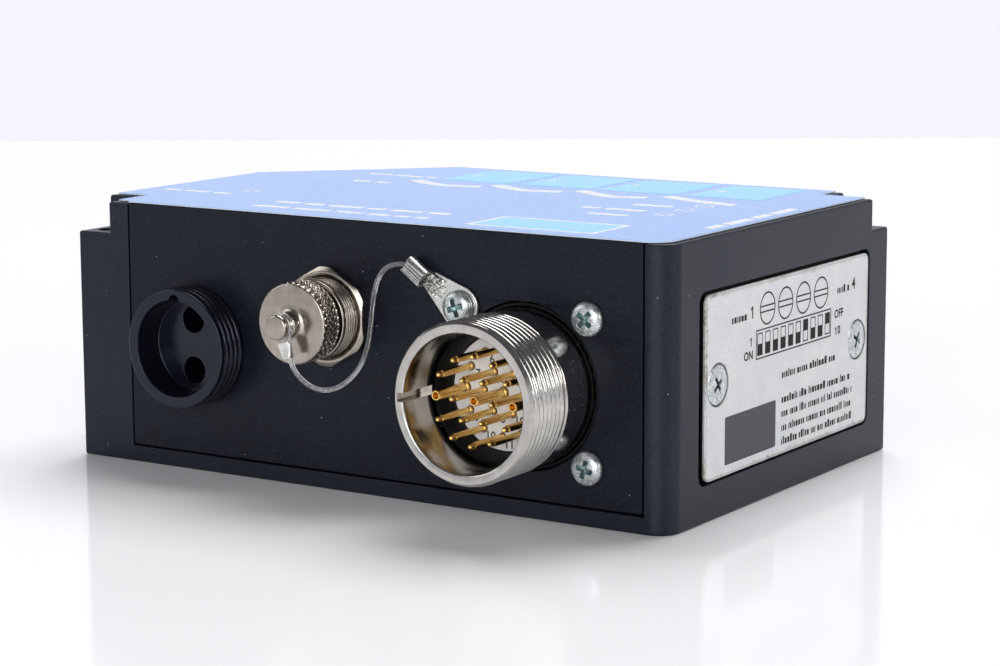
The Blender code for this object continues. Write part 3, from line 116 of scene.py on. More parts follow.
# Camera and backdrop: angles in degrees, places in metres
CAMERA_YAW, CAMERA_PITCH, CAMERA_ROLL = -32.812, 9.199, -0.200
CAMERA_PLACE = (0.223755, -0.340892, 0.087016)
CAMERA_LENS = 95.08
CAMERA_SHIFT = (-0.0059, -0.01315)
WALL_DISTANCE = 1.9
WALL_GLOW = 1.0

# Area lights: name, place, target and size in metres, power in watts
LIGHTS = (
    ("overhead", (-0.1, 1.0, 2.0), (0, 0, 0), (1.7, 1.5), 47.5),
    ("front", (0.28, -1.0, 0.27), (0.03, -0.04, 0.02), (0.8, 0.42), 3.9),
    ("right_side", (1.3, 0.1, 0.42), (0.05, 0.0, 0.02), (0.5, 0.4), 3.5),
    ("fill", (0.27, -0.42, 0.15), (0.03, -0.05, 0.02), (0.25, 0.2), 0.32),
    ("left_side", (-0.75, -0.45, 0.5), (0, 0, 0.02), (0.4, 0.5), 1.2),
)

# Directions of the front face, the right side and the roof
FORWARD = Matrix(((1, 0, 0), (0, 0, -1), (0, 1, 0))).to_4x4()
RIGHT = Matrix(((0, 0, 1), (1, 0, 0), (0, 1, 0))).to_4x4()
UP = Matrix.Identity(4)


def spot(across, forward, up):
    return Vector((across - WIDTH / 2, -DEPTH / 2 - forward, up)) * MM


def behind(across, depth, up):
    return spot(across, -depth, up)


def facing(place, turn=FORWARD):
    return Matrix.Translation(place) @ turn


def on_panel(centre, forward=0):
    return facing(spot(centre[0], forward, centre[1]))


def shifted(pose, x, y):
    return pose @ Matrix.Translation((x * MM, y * MM, 0))


def spun(pose, degrees):
    return pose @ Matrix.Rotation(math.radians(degrees), 4, "Z")


def axes(x, y, z):
    return Matrix((x, y, z)).transposed().to_4x4()


PLAN = facing(spot(0, 0, 0), UP)
FACE = facing(spot(0, 0, 0), FORWARD)
SIDE = facing(behind(WIDTH, 0, 0), RIGHT)


def new_object(name, data, material, pose):
    item = bpy.data.objects.new(name, data)
    bpy.context.scene.collection.objects.link(item)
    item.matrix_world = pose
    if material is not None:
        data.materials.clear()
        data.materials.append(material)
    return item


def from_form(name, form, material, pose):
    bmesh.ops.recalc_face_normals(form, faces=form.faces)
    mesh = bpy.data.meshes.new(name)
    form.to_mesh(mesh)
    form.free()
    return new_object(name, mesh, material, pose)


def skin(form, rows):
    """Faces between rings of points, and over both ends."""
    count = len(rows[0])
    for a, b in zip(rows, rows[1:]):
        for j in range(count):
            k = (j + 1) % count
            form.faces.new((a[j], a[k], b[k], b[j]))
    form.faces.new(rows[0])
    form.faces.new(list(reversed(rows[-1])))


def box(name, low, high, material=None, pose=UP):
    low, high = Vector(low) * MM, Vector(high) * MM
    form = bmesh.new()
    bmesh.ops.create_cube(form, size=1.0)
    bmesh.ops.scale(form, vec=high - low, verts=form.verts)
    bmesh.ops.translate(form, vec=(low + high) / 2, verts=form.verts)
    return from_form(name, form, material, pose)


def arc(centre, radius, start, end, steps):
    points = []
    for i in range(steps + 1):
        angle = math.radians(start + (end - start) * i / steps)
        points.append((centre[0] + radius * math.cos(angle), centre[1] + radius * math.sin(angle)))
    return points


def ring(centre, radius, steps=48):
    return arc(centre, radius, 0, 360, steps)[:-1]


def rounded_rectangle(low, high, radius, steps=8):
    left, bottom, right, top = low[0] + radius, low[1] + radius, high[0] - radius, high[1] - radius
    return (arc((right, bottom), radius, -90, 0, steps) + arc((right, top), radius, 0, 90, steps)
            + arc((left, top), radius, 90, 180, steps) + arc((left, bottom), radius, 180, 270, steps))


def bar(low, high):
    return [low, (high[0], low[1]), high, (low[0], high[1])]


def evaluated_mesh(item):
    bpy.context.view_layer.update()
    evaluated = item.evaluated_get(bpy.context.evaluated_depsgraph_get())
    return bpy.data.meshes.new_from_object(evaluated)


def weld_curve(item, material):
    """Turns a curve object into a welded mesh object in the same place."""
    mesh = evaluated_mesh(item)
    name, pose = item.name, item.matrix_world.copy()
    bpy.data.objects.remove(item, do_unlink=True)
    form = bmesh.new()
    form.from_mesh(mesh)
    bpy.data.meshes.remove(mesh)
    bmesh.ops.remove_doubles(form, verts=form.verts, dist=0.000001)
    return from_form(name, form, material, pose)


def plate(name, outlines, low, high, material=None, pose=UP):
    """Flat outlines, the inner ones as holes, from low to high along the pose's third axis."""
    curve = bpy.data.curves.new(name, "CURVE")
    curve.dimensions = "2D"
    curve.fill_mode = "BOTH"
    curve.extrude = (high - low) / 2 * MM
    for outline in outlines:
        spline = curve.splines.new("POLY")
        spline.points.add(len(outline) - 1)
        for point, (x, y) in zip(spline.points, outline):
            point.co = (x * MM, y * MM, 0.0, 1.0)
        spline.use_cyclic_u = True
    shift = Matrix.Translation((0, 0, (low + high) / 2 * MM))
    return weld_curve(new_object(name, curve, None, pose @ shift), material)


def revolve(name, profile, steps, material=None, pose=UP, shape=None, closed=False):
    """A turned form of (radius, forward) points. A shape function may move each point by its angle."""
    form = bmesh.new()
    rows = []
    for radius, forward in profile:
        if radius == 0:
            rows.append([form.verts.new((0, 0, forward * MM))])
            continue
        row = []
        for j in range(steps):
            angle = 2 * math.pi * j / steps
            r, f = shape(radius, forward, angle) if shape else (radius, forward)
            row.append(form.verts.new((r * math.cos(angle) * MM, r * math.sin(angle) * MM, f * MM)))
        rows.append(row)
    pairs = list(zip(rows, rows[1:]))
    if closed:
        pairs.append((rows[-1], rows[0]))
    for a, b in pairs:
        for j in range(steps):
            k = (j + 1) % steps
            if len(a) == 1:
                form.faces.new((a[0], b[j], b[k]))
            elif len(b) == 1:
                form.faces.new((a[j], b[0], a[k]))
            else:
                form.faces.new((a[j], b[j], b[k], a[k]))
    return from_form(name, form, material, pose)


def stretch(start, end, step):
    """Points along a straight stretch of a profile, without its end."""
    length = math.dist(start, end)
    count = max(1, round(length / step))
    return [(start[0] + (end[0] - start[0]) * i / count, start[1] + (end[1] - start[1]) * i / count)
            for i in range(count)]


def cylinder(name, radius, low, high, material=None, pose=UP, steps=48):
    return revolve(name, [(0, high), (radius, high), (radius, low), (0, low)], steps, material, pose)


def settle(item):
    """Applies an object's modifiers."""
    mesh = evaluated_mesh(item)
    old = item.data
    item.modifiers.clear()
    item.data = mesh
    bpy.data.meshes.remove(old)


def flatten(item):
    """Joins faces that lie in one plane."""
    form = bmesh.new()
    form.from_mesh(item.data)
    bmesh.ops.remove_doubles(form, verts=form.verts, dist=0.000001)
    bmesh.ops.dissolve_limit(form, angle_limit=0.008, verts=form.verts, edges=form.edges)
    form.to_mesh(item.data)
    form.free()


def carve(target, *tools):
    for tool in tools:
        step = target.modifiers.new(tool.name, "BOOLEAN")
        step.operation = "DIFFERENCE"
        step.solver = "MANIFOLD"
        step.object = tool
    settle(target)
    for tool in tools:
        bpy.data.objects.remove(tool, do_unlink=True)


def bevel(item, width, segments, angle):
    flatten(item)
    edges = item.modifiers.new("Edges", "BEVEL")
    edges.width = width * MM
    edges.use_clamp_overlap = False
    edges.segments = segments
    edges.limit_method = "ANGLE"
    edges.angle_limit = math.radians(angle)


def soften(item, width, segments=2, angle=40):
    """Breaks the sharp edges and shades the large faces flat."""
    bevel(item, width, segments, angle)
    item.data.shade_smooth()
    item.data.set_sharp_from_angle(angle=math.radians(50))
    normals = item.modifiers.new("Normals", "WEIGHTED_NORMAL")
    normals.weight = 90
    normals.keep_sharp = True
    settle(item)


def smooth(item, angle=35):
    item.data.shade_smooth()
    item.data.set_sharp_from_angle(angle=math.radians(angle))


def place(item, body, *nodes, slot=None):
    """Puts an object on its body and hides the nodes that it stands for. The slot argument is not used."""
    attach(item, body)
    if nodes:
        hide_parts(*nodes)
    return item


# Materials

class Surface:
    """A Principled material, with helpers that add nodes to it."""

    def __init__(self, name, colour, roughness, metallic=0.0, **sockets):
        self.material = bpy.data.materials.new(name)
        self.material.use_nodes = True
        self.tree = self.material.node_tree
        self.shader = self.tree.nodes["Principled BSDF"]
        self.shader.inputs["Base Color"].default_value = (*colour, 1.0)
        self.shader.inputs["Roughness"].default_value = roughness
        self.shader.inputs["Metallic"].default_value = metallic
        for socket, value in sockets.items():
            self.shader.inputs[socket.replace("_", " ")].default_value = value
        self.coords = self.tree.nodes.new("ShaderNodeTexCoord").outputs["Object"]
        self.height = None

    def node(self, kind, inputs=None, **settings):
        node = self.tree.nodes.new("ShaderNode" + kind)
        for key, value in settings.items():
            setattr(node, key, value)
        for key, value in (inputs or {}).items():
            if isinstance(value, bpy.types.NodeSocket):
                self.tree.links.new(value, node.inputs[key])
            else:
                node.inputs[key].default_value = value
        return node

    def noise(self, size, detail=3.0, roughness=0.55):
        """Noise whose blotches are about the given size in millimetres."""
        inputs = {"Vector": self.coords, "Scale": 1000.0 / size, "Detail": detail, "Roughness": roughness}
        return self.node("TexNoise", inputs).outputs["Fac"]

    def cells(self, size):
        return self.node("TexVoronoi", {"Vector": self.coords, "Scale": 1000.0 / size}).outputs["Distance"]

    def span(self, value, low, high, new_low=0.0, new_high=1.0):
        inputs = {"Value": value, "From Min": low, "From Max": high, "To Min": new_low, "To Max": new_high}
        return self.node("MapRange", inputs, clamp=True).outputs["Result"]

    def math(self, operation, a, b=0.0):
        node = self.node("Math", operation=operation)
        for socket, value in zip(node.inputs, (a, b)):
            if isinstance(value, bpy.types.NodeSocket):
                self.tree.links.new(value, socket)
            else:
                socket.default_value = value
        return node.outputs[0]

    def mix(self, share, a, b):
        node = self.node("Mix", data_type="RGBA")
        sockets = [s for s in node.inputs if s.type == "RGBA"]
        for socket, value in ((node.inputs["Factor"], share), (sockets[0], a), (sockets[1], b)):
            if isinstance(value, bpy.types.NodeSocket):
                self.tree.links.new(value, socket)
            elif socket.type == "RGBA":
                socket.default_value = (*value, 1.0)
            else:
                socket.default_value = value
        return [s for s in node.outputs if s.type == "RGBA"][0]

    def times(self, a, b):
        return self.math("MULTIPLY", a, b)

    def plus(self, a, b):
        return self.math("ADD", a, b)

    def minus(self, a, b):
        return self.math("SUBTRACT", a, b)

    def distance(self, x, y):
        return self.math("SQRT", self.plus(self.times(x, x), self.times(y, y)))

    def parts(self):
        return self.node("SeparateXYZ", {"Vector": self.coords}).outputs

    def specks(self, size, low, high, patches, patch_low, patch_high):
        """Small round specks in patches, which are given as (size, detail)."""
        dots = self.span(self.cells(size), low, high, 1.0, 0.0)
        return self.times(dots, self.span(self.noise(*patches), patch_low, patch_high))

    def lathe_marks(self, size, detail):
        """Noise in rings around the object's third axis."""
        x, y, z = self.parts()
        rings = self.times(self.plus(self.distance(x, y), z), 1000.0 / size)
        lines = self.node("CombineXYZ", {"X": rings}).outputs[0]
        return self.node("TexNoise", {"Vector": lines, "Scale": 1.0, "Detail": detail}).outputs["Fac"]

    def link(self, value, socket):
        self.tree.links.new(value, self.shader.inputs[socket])

    def roughen(self, value, low, high):
        self.link(self.span(value, 0.3, 0.7, low, high), "Roughness")

    def bump(self, value, depth, strength=1.0):
        """Raises the surface by value times depth in millimetres."""
        inputs = {"Height": value, "Distance": depth * MM, "Strength": strength}
        if self.height is not None:
            inputs["Normal"] = self.height
        self.height = self.node("Bump", inputs).outputs["Normal"]
        self.link(self.height, "Normal")


def shade(colour, factor):
    return tuple(min(1.0, c * factor) for c in colour)


def anodised(name, colour, gloss, sheen=(0.80, 0.88, 1.0), coarse=1.0):
    s = Surface(name, colour, 0.42, 0.0, Specular_IOR_Level=gloss)
    s.shader.inputs["Specular Tint"].default_value = (*sheen, 1.0)
    grain = s.noise(0.12, 4.0, 0.6)
    broad = s.noise(14.0, 3.0)
    tone = s.mix(s.span(broad, 0.35, 0.65), shade(colour, 0.85), shade(colour, 1.2))
    mottle = s.noise(0.42, 2.0, 0.6)
    tone = s.mix(s.span(mottle, 0.50, 0.68, 0.0, 0.6), tone, shade(colour, 3.0))
    dust = s.specks(2.2, 0.035, 0.06, (2.4, 1.0), 0.50, 0.56)
    tone = s.mix(s.times(dust, 0.7), tone, (0.34, 0.34, 0.36))
    fluff = s.specks(0.8, 0.03, 0.06, (7.0, 2.0), 0.56, 0.62)
    tone = s.mix(s.times(fluff, 0.35), tone, (0.30, 0.30, 0.32))
    s.link(tone, "Base Color")
    s.roughen(s.plus(s.times(grain, 0.6), s.times(broad, 0.4)), 0.30, 0.46)
    s.bump(grain, 0.012 * coarse, 0.6)
    s.bump(mottle, 0.008 * coarse, 0.5)
    return s.material


def turned_metal(name, colour, roughness, dust=0.0):
    """Bright metal with lathe marks around the object's third axis, and specks of dust."""
    s = Surface(name, colour, roughness, 1.0)
    streaks = s.lathe_marks(0.12, 3.0)
    blotch = s.noise(1.6, 4.0, 0.6)
    fine = s.noise(0.18, 3.0)
    tone = s.mix(s.span(blotch, 0.35, 0.7), shade(colour, 0.78), colour)
    wear = s.plus(s.times(blotch, 0.6), s.times(fine, 0.4))
    rough = s.span(wear, 0.3, 0.7, roughness * 0.7, roughness * 1.5)
    if dust:
        specks = s.times(s.specks(0.55, 0.05, 0.11, (1.3, 2.0), 0.44, 0.54), dust)
        tone = s.mix(specks, tone, (0.75, 0.76, 0.78))
        rough = s.math("MAXIMUM", rough, s.times(specks, 0.8))
        s.link(s.minus(1.0, specks), "Metallic")
    s.link(tone, "Base Color")
    s.link(rough, "Roughness")
    s.bump(streaks, 0.006, 0.5)
    s.bump(fine, 0.004, 0.5)
    return s.material


def plated_metal(name, colour, roughness, tint=None):
    s = Surface(name, colour, roughness, 1.0)
    blotch = s.noise(0.8, 4.0, 0.6)
    fine = s.noise(0.12, 3.0)
    s.link(s.mix(s.span(blotch, 0.4, 0.65), tint or shade(colour, 0.8), colour), "Base Color")
    s.roughen(fine, roughness * 0.7, roughness * 1.45)
    s.bump(fine, 0.006, 0.6)
    return s.material


def zinc_plated(name):
    """Scratched zinc; its cross recess is painted dark blue-green, painted shade in the recess with a
    blue-green tint. The head's top lies at height 0, its axis on z.
    """
    s = Surface(name, (0.62, 0.63, 0.61), 0.25, 0.8)
    x, y, z = s.parts()
    radius = s.distance(x, y)
    blotch = s.noise(0.9, 4.0, 0.65)
    fine = s.noise(0.22, 4.0, 0.65)
    tone = s.mix(s.span(blotch, 0.40, 0.62), (0.46, 0.52, 0.53), (0.84, 0.85, 0.82))
    tone = s.mix(s.span(fine, 0.55, 0.63), tone, (0.13, 0.15, 0.15))
    flecks = s.span(s.cells(0.42), 0.10, 0.16, 1.0, 0.0)
    tone = s.mix(s.times(flecks, 0.7), tone, (0.88, 0.88, 0.86))
    # The cross recess is painted dark blue-green: painted shade in the recess, with a blue-green tint.
    recess_shade = s.times(s.span(z, -0.00030, -0.00016, 1.0, 0.0), s.span(radius, 0.0015, 0.0016, 1.0, 0.0))
    tone = s.mix(s.times(recess_shade, 0.85), tone, (0.16, 0.27, 0.29))
    s.link(tone, "Base Color")
    s.roughen(fine, 0.14, 0.42)
    s.bump(fine, 0.02, 0.8)
    s.bump(blotch, 0.03, 0.6)
    return s.material


def moulded(name, colour, roughness, grain=0.25, specular=0.5):
    s = Surface(name, colour, roughness, 0.0, Specular_IOR_Level=specular)
    fine = s.noise(grain, 3.0, 0.6)
    broad = s.noise(grain * 18, 2.0)
    s.link(s.mix(s.span(broad, 0.35, 0.65), shade(colour, 0.86), shade(colour, 1.08)), "Base Color")
    s.roughen(fine, roughness * 0.8, min(1.0, roughness * 1.25))
    s.bump(fine, 0.006, 0.6)
    return s.material


def turned_plastic(name, colour, roughness):
    """Glossy black plastic with turning marks around the object's third axis."""
    s = Surface(name, colour, roughness, 0.0, Specular_IOR_Level=0.42)
    s.shader.inputs["Specular Tint"].default_value = (0.76, 0.83, 1.0, 1.0)
    streaks = s.lathe_marks(1 / 7, 4.0)
    fine = s.noise(0.2, 3.0)
    specks = s.specks(1.1, 0.04, 0.07, (2.6, 1.0), 0.52, 0.58)
    s.link(s.mix(s.times(specks, 0.8), colour, (0.20, 0.21, 0.23)), "Base Color")
    s.roughen(fine, roughness * 0.7, roughness * 1.5)
    s.bump(streaks, 0.014, 0.8)
    s.bump(fine, 0.004, 0.5)
    return s.material


def foil_blue(name):
    s = Surface(name, (0.045, 0.235, 0.66), 0.24, 0.0, Specular_IOR_Level=0.6, Coat_Weight=0.35,
                Coat_Roughness=0.08)
    fine = s.noise(0.35, 3.0, 0.6)
    broad = s.noise(22.0, 2.0)
    tone = s.mix(s.span(broad, 0.35, 0.65), (0.040, 0.285, 0.80), (0.050, 0.315, 0.88))
    # The foil's upright edges are painted pale blue-white: a painted highlight along the foil's cut edges.
    upward = s.node("SeparateXYZ", {"Vector": s.node("NewGeometry").outputs["Normal"]}).outputs[2]
    s.link(s.mix(s.span(upward, 0.3, 0.8, 1.0, 0.0), tone, (0.62, 0.70, 0.82)), "Base Color")
    s.roughen(fine, 0.18, 0.28)
    s.bump(fine, 0.003, 0.4)
    s.bump(s.noise(9.0, 1.0), 0.02, 0.6)
    return s.material


def cover_metal(name):
    """Pale plate, a little stained, worn brown along its edges, with painted shade in a thin line inside
    the edges and in a ring round each countersink.
    """
    s = Surface(name, (0.72, 0.73, 0.73), 0.42, 0.1)
    x, y, z = s.parts()
    left = s.minus(x, COVER_LOW[0] * MM)
    right = s.minus(COVER_HIGH[0] * MM, x)
    low = s.minus(y, COVER_LOW[1] * MM)
    high = s.minus(COVER_HIGH[1] * MM, y)
    edge = s.math("MINIMUM", s.math("MINIMUM", left, right), s.math("MINIMUM", low, high))
    ragged = s.plus(edge, s.times(s.noise(1.6, 5.0, 0.7), -0.0032))
    worn = s.span(ragged, -0.0014, -0.0009, 1.0, 0.0)
    sink_shades = []
    patchy = s.span(s.noise(9.0, 2.0), 0.42, 0.60, 0.15, 0.8)
    # A near-black ring is painted round each countersink: painted shade in the gap round the screw head.
    for place_x, place_y in COVER_SCREWS:
        away = s.distance(s.minus(x, place_x * MM), s.minus(y, place_y * MM))
        sink_shades.append(s.span(away, 0.00302, 0.00318, 1.0, 0.0))
    # A thin dark line is painted about 0.3 mm inside the plate's edge: painted shade of an edge groove that
    # is not modelled.
    rim = s.span(edge, 0.00010, 0.00030, 0.0, 1.0)
    groove = s.span(edge, 0.00030, 0.00055, 1.0, 0.0)
    blotch = s.noise(5.0, 5.0, 0.65)
    fine = s.noise(0.16, 4.0, 0.6)
    tone = s.mix(s.span(blotch, 0.3, 0.7), (0.66, 0.67, 0.68), (0.77, 0.78, 0.78))
    tone = s.mix(s.span(fine, 0.42, 0.68, 0.0, 0.55), tone, (0.50, 0.50, 0.50))
    specks = s.specks(1.1, 0.05, 0.08, (3.0, 1.0), 0.54, 0.58)
    tone = s.mix(s.times(specks, 0.6), tone, (0.16, 0.14, 0.12))
    grime = s.mix(s.span(s.noise(0.7, 3.0), 0.42, 0.58), (0.20, 0.17, 0.13), (0.52, 0.50, 0.43))
    tone = s.mix(s.times(worn, patchy), tone, grime)
    tone = s.mix(s.times(s.times(rim, groove), 0.45), tone, (0.24, 0.22, 0.19))
    tone = s.mix(s.math("MAXIMUM", *sink_shades), tone, (0.035, 0.032, 0.03))
    s.link(tone, "Base Color")
    s.roughen(blotch, 0.34, 0.5)
    s.bump(fine, 0.008, 0.7)
    return s.material


def clear_cord(name):
    s = Surface(name, (0.88, 0.90, 0.92), 0.08, 0.0, IOR=1.5, Transmission_Weight=0.93)
    fine = s.noise(0.5, 3.0)
    s.roughen(fine, 0.03, 0.07)
    s.bump(fine, 0.001, 0.3)
    return s.material


def glowing_clear(name, colour):
    s = Surface(name, colour, 0.15, 0.0, Transmission_Weight=0.4)
    s.bump(s.noise(0.6, 2.0), 0.01, 0.4)
    return s.material


def ink(name, colour, roughness=0.4, gloss=0.5):
    s = Surface(name, colour, roughness, Specular_IOR_Level=gloss)
    fine = s.noise(0.12, 4.0, 0.6)
    s.link(s.mix(s.span(fine, 0.35, 0.65), shade(colour, 0.88), colour), "Base Color")
    s.roughen(fine, roughness * 0.85, roughness * 1.2)
    s.bump(fine, 0.003, 0.5)
    return s.material


ANODISED = anodised("black_anodised", (0.0056, 0.0066, 0.0112), 0.33, (0.74, 0.84, 1.0), 2.6)
PANEL_BLACK = anodised("panel_black", (0.0050, 0.0061, 0.0105), 0.21)
COLLAR_BLACK = turned_plastic("collar_black", (0.0036, 0.0043, 0.0085), 0.17)
NICKEL = turned_metal("nickel", (0.47, 0.42, 0.365), 0.2)
SHELL_NICKEL = turned_metal("shell_nickel", (0.60, 0.575, 0.54), 0.15, dust=0.9)
ZINC = zinc_plated("zinc")
TINNED = plated_metal("tinned", (0.74, 0.73, 0.70), 0.28)
ALUMINIUM = plated_metal("aluminium", (0.80, 0.79, 0.76), 0.35)
GOLD = plated_metal("gold", (0.92, 0.62, 0.21), 0.18, (0.80, 0.50, 0.15))
NYLON = clear_cord("clear_nylon")
WHITE = moulded("white_plastic", (0.90, 0.90, 0.885), 0.4)
RUBBER = moulded("rubber", (0.004, 0.004, 0.004), 0.6, 0.3, specular=0.2)
BLACK_PLASTIC = moulded("black_plastic", (0.012, 0.012, 0.013), 0.35)
FOIL = foil_blue("blue_foil")
COVER_METAL = cover_metal("cover_plate")
# White ink, also used for the painted highlights on the foil.
WHITE_INK_AND_HIGHLIGHT = ink("white_ink_and_highlight", (0.80, 0.84, 0.88))
CYAN_INK = ink("cyan_ink", (0.13, 0.62, 0.92), 0.22, 0.8)
BLACK_INK = ink("black_ink", (0.012, 0.012, 0.015), 0.6, 0.2)
GREY_INK = ink("grey_ink", (0.085, 0.087, 0.092), 0.6, 0.25)
DIGIT_INK = ink("digit_ink", (0.05, 0.05, 0.055), 0.5)
BOARD = moulded("board_green", (0.015, 0.13, 0.05), 0.4, 0.4)
RED = moulded("red_plastic", (0.40, 0.02, 0.015), 0.35)
TRIMMER_BLUE = moulded("trimmer_blue", (0.02, 0.08, 0.40), 0.35)
CLEAR = glowing_clear("clear_plastic", (0.85, 0.86, 0.88))
DARK_CLEAR = glowing_clear("dark_filter", (0.03, 0.01, 0.02))
NODE_MATERIALS = {
    "cover_gasket": RUBBER, "collar_nut": BLACK_PLASTIC, "optics_block": BLACK_PLASTIC,
    "light_source": CLEAR, "colour_receiver": DARK_CLEAR, "service_insert": BLACK_PLASTIC,
    "main_gasket": RUBBER, "main_board": BOARD, "side_board": BOARD, "switch_block": RED,
    "board_screw_left": ZINC, "board_screw_right": ZINC,
}
for number in range(1, 5):
    NODE_MATERIALS[f"trimmer_{number}"] = TRIMMER_BLUE
    NODE_MATERIALS[f"trimmer_rotor_{number}"] = WHITE
for node_name, node_material in NODE_MATERIALS.items():
    for material_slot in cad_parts[node_name].material_slots:
        material_slot.material = node_material


# Camera

def make_camera():
    """The camera of the photograph, solved from the block's edges."""
    yaw, pitch, roll = (math.radians(turn) for turn in (CAMERA_YAW, CAMERA_PITCH, CAMERA_ROLL))
    ahead = Vector((math.sin(yaw) * math.cos(pitch), math.cos(yaw) * math.cos(pitch), -math.sin(pitch)))
    level = Vector((math.cos(yaw), -math.sin(yaw), 0))
    above = level.cross(ahead)
    right = level * math.cos(roll) + above * math.sin(roll)
    over = above * math.cos(roll) - level * math.sin(roll)
    data = bpy.data.cameras.new("Camera")
    camera = new_object("Camera", data, None, facing(CAMERA_PLACE, axes(right, over, -ahead)))
    data.lens = CAMERA_LENS
    data.sensor_width = 36.0
    data.shift_x, data.shift_y = CAMERA_SHIFT
    data.clip_start = 0.01
    bpy.context.scene.camera = camera
    return camera, yaw


# Cord and what is on it

def smooth_route(points, count):
    """Evenly spaced places on a Catmull-Rom curve through the points."""
    knots = [points[0] * 2 - points[1], *points, points[-1] * 2 - points[-2]]
    fine = []
    for a, b, c, d in zip(knots, knots[1:], knots[2:], knots[3:]):
        for i in range(24):
            t = i / 24
            fine.append(0.5 * ((2 * b) + (c - a) * t + (2 * a - 5 * b + 4 * c - d) * t * t
                               + (3 * b - a - 3 * c + d) * t ** 3))
    fine.append(points[-1])
    lengths = [0.0]
    for a, b in zip(fine, fine[1:]):
        lengths.append(lengths[-1] + (b - a).length)
    route = []
    k = 0
    for i in range(count):
        target = lengths[-1] * i / (count - 1)
        while k < len(fine) - 2 and lengths[k + 1] < target:
            k += 1
        share = (target - lengths[k]) / (lengths[k + 1] - lengths[k])
        route.append(fine[k].lerp(fine[k + 1], share))
    return route


def tube(name, points, radius, material, sides=16):
    """A round tube along points in metres, with closed ends."""
    form = bmesh.new()
    rows = []
    normal = None
    for i, point in enumerate(points):
        ahead = (points[min(i + 1, len(points) - 1)] - points[max(i - 1, 0)]).normalized()
        if normal is None:
            normal = ahead.orthogonal().normalized()
        normal = (normal - ahead * normal.dot(ahead)).normalized()
        other = ahead.cross(normal)
        row = []
        for j in range(sides):
            angle = 2 * math.pi * j / sides
            row.append(form.verts.new(point + (normal * math.cos(angle) + other * math.sin(angle))
                                      * radius * MM))
        rows.append(row)
    skin(form, rows)
    item = from_form(name, form, material, UP)
    smooth(item)
    return item


def lanyard():
    hub = spot(SERVICE[0], GROOVE_FORWARD, SERVICE[1])
    middle = spot(FERRULE_MIDDLE[0], GROOVE_FORWARD, FERRULE_MIDDLE[1])
    up = (hub - middle).normalized()
    right = Vector((0, 1, 0)).cross(up)
    half = up * FERRULE_SIZE[2] / 2 * MM
    strand = right * (CORD_RADIUS + 0.04) * MM
    loop = []
    for degrees in range(38, 323, 12):
        angle = math.radians(degrees)
        loop.append(hub + (right * math.sin(angle) - up * math.cos(angle)) * LOOP_RADIUS * MM)
    run = [spot(*point) for point in CORD_ROUTE]
    knots = [*run, middle - half * 0.9 + strand, middle + half * 0.2 + strand,
             middle + half * 1.1 + strand * 1.1, *loop,
             middle + half * 1.1 - strand * 1.1, middle + half * 0.1 - strand]
    path = smooth_route(knots, 170)
    cord = tube("lanyard_cord", path, CORD_RADIUS, NYLON)
    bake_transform(cord)
    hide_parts("lanyard", "lanyard_loop")
    ferrule = crimp_ferrule(middle, up, right)
    return cord


def crimp_ferrule(middle, up, right):
    """A flat crimped sleeve: square at its top, tapered below, with a dent on its front."""
    width, thickness, length = FERRULE_SIZE
    form = bmesh.new()
    rows = []
    levels = 14
    for i in range(levels + 1):
        share = i / levels
        height = (0.5 - share) * length
        half = width / 2 * (1.0 - 0.30 * max(0.0, share - 0.35) / 0.65)
        depth = thickness / 2 * (1.0 - 0.25 * math.sin(math.pi * min(1.0, share / 0.9)))
        if i in (0, levels):
            half -= 0.08
            depth -= 0.08
        row = []
        for x, y in rounded_rectangle((-half, -depth), (half, depth), depth * 0.55, 5):
            dent = 0.12 * math.exp(-(x / 0.45) ** 2) if y > 0 and 0.15 < share < 0.85 else 0.0
            row.append(form.verts.new(middle + (right * x + Vector((0, -1, 0)) * (y - dent)
                                                + up * height) * MM))
        rows.append(row)
    skin(form, rows)
    ferrule = from_form("ferrule", form, ALUMINIUM, UP)
    smooth(ferrule, 40)
    place(ferrule, "cap_carrier", "lanyard_ferrule", slot="bright_aluminium")
    return ferrule


# Housing, panel, foil and cover

def housing_outline():
    corner = (WIDTH - CORNER_RADIUS, CORNER_RADIUS)
    return [(0, 0), *arc(corner, CORNER_RADIUS, -90, 0, 20), (WIDTH, DEPTH), (CORNER_CHAMFER, DEPTH),
            (0, DEPTH - CORNER_CHAMFER)]


def flat_box(name, low, high):
    """A cutter between two places given as (across, depth, up)."""
    return box(name, low, high, None, PLAN)


def housing():
    block = plate("housing_shell", [housing_outline()], 0, HEIGHT, ANODISED, PLAN)
    flatten(block)
    carve(block, flat_box("front_ledge", (-3, -3, LEDGE_HEIGHT), (*FRONT_LEDGE, HEIGHT + 3)),
          flat_box("rear_ledge", (WIDTH - REAR_LEDGE[0], DEPTH - REAR_LEDGE[1], LEDGE_HEIGHT),
                   (WIDTH + 3, DEPTH + 3, HEIGHT + 3)))
    bevel(block, HOUSING_EDGE, 3, 40)
    settle(block)
    room = [(12, 3.3), (WIDTH - 4.6, 3.3), (WIDTH - 4.6, DEPTH - 11), (WIDTH - 10.5, DEPTH - 11),
            (WIDTH - 10.5, DEPTH - 3.2), (26.9, DEPTH - 3.2), (3.2, DEPTH - 26.9), (3.2, 11), (12, 11)]
    recess = rounded_rectangle(*COVER_RECESS, 1.65)
    tools = [flat_box("panel_pocket", (PANEL_LEFT, -3, PANEL_BOTTOM),
                      (PANEL_RIGHT, PANEL_THICKNESS + FIT, HEIGHT + 3)),
             plate("room", [room], 4.0, HEIGHT - 2.75, None, PLAN),
             plate("cover_field", [recess], RECESS_FLOOR, 3, None, SIDE),
             flat_box("side_window", (WIDTH - 7, 23.0, 18.4), (WIDTH, 51.9, 31.6))]
    for across, depth in HOLES:
        foot = facing(behind(across, depth, 0), UP)
        tools.append(cylinder("mounting_hole", HOLE_RADIUS, -2, HEIGHT, None, foot))
    carve(block, *tools)
    soften(block, 0.1, 2, 45)
    place(block, "base", "housing", slot="black_anodised")


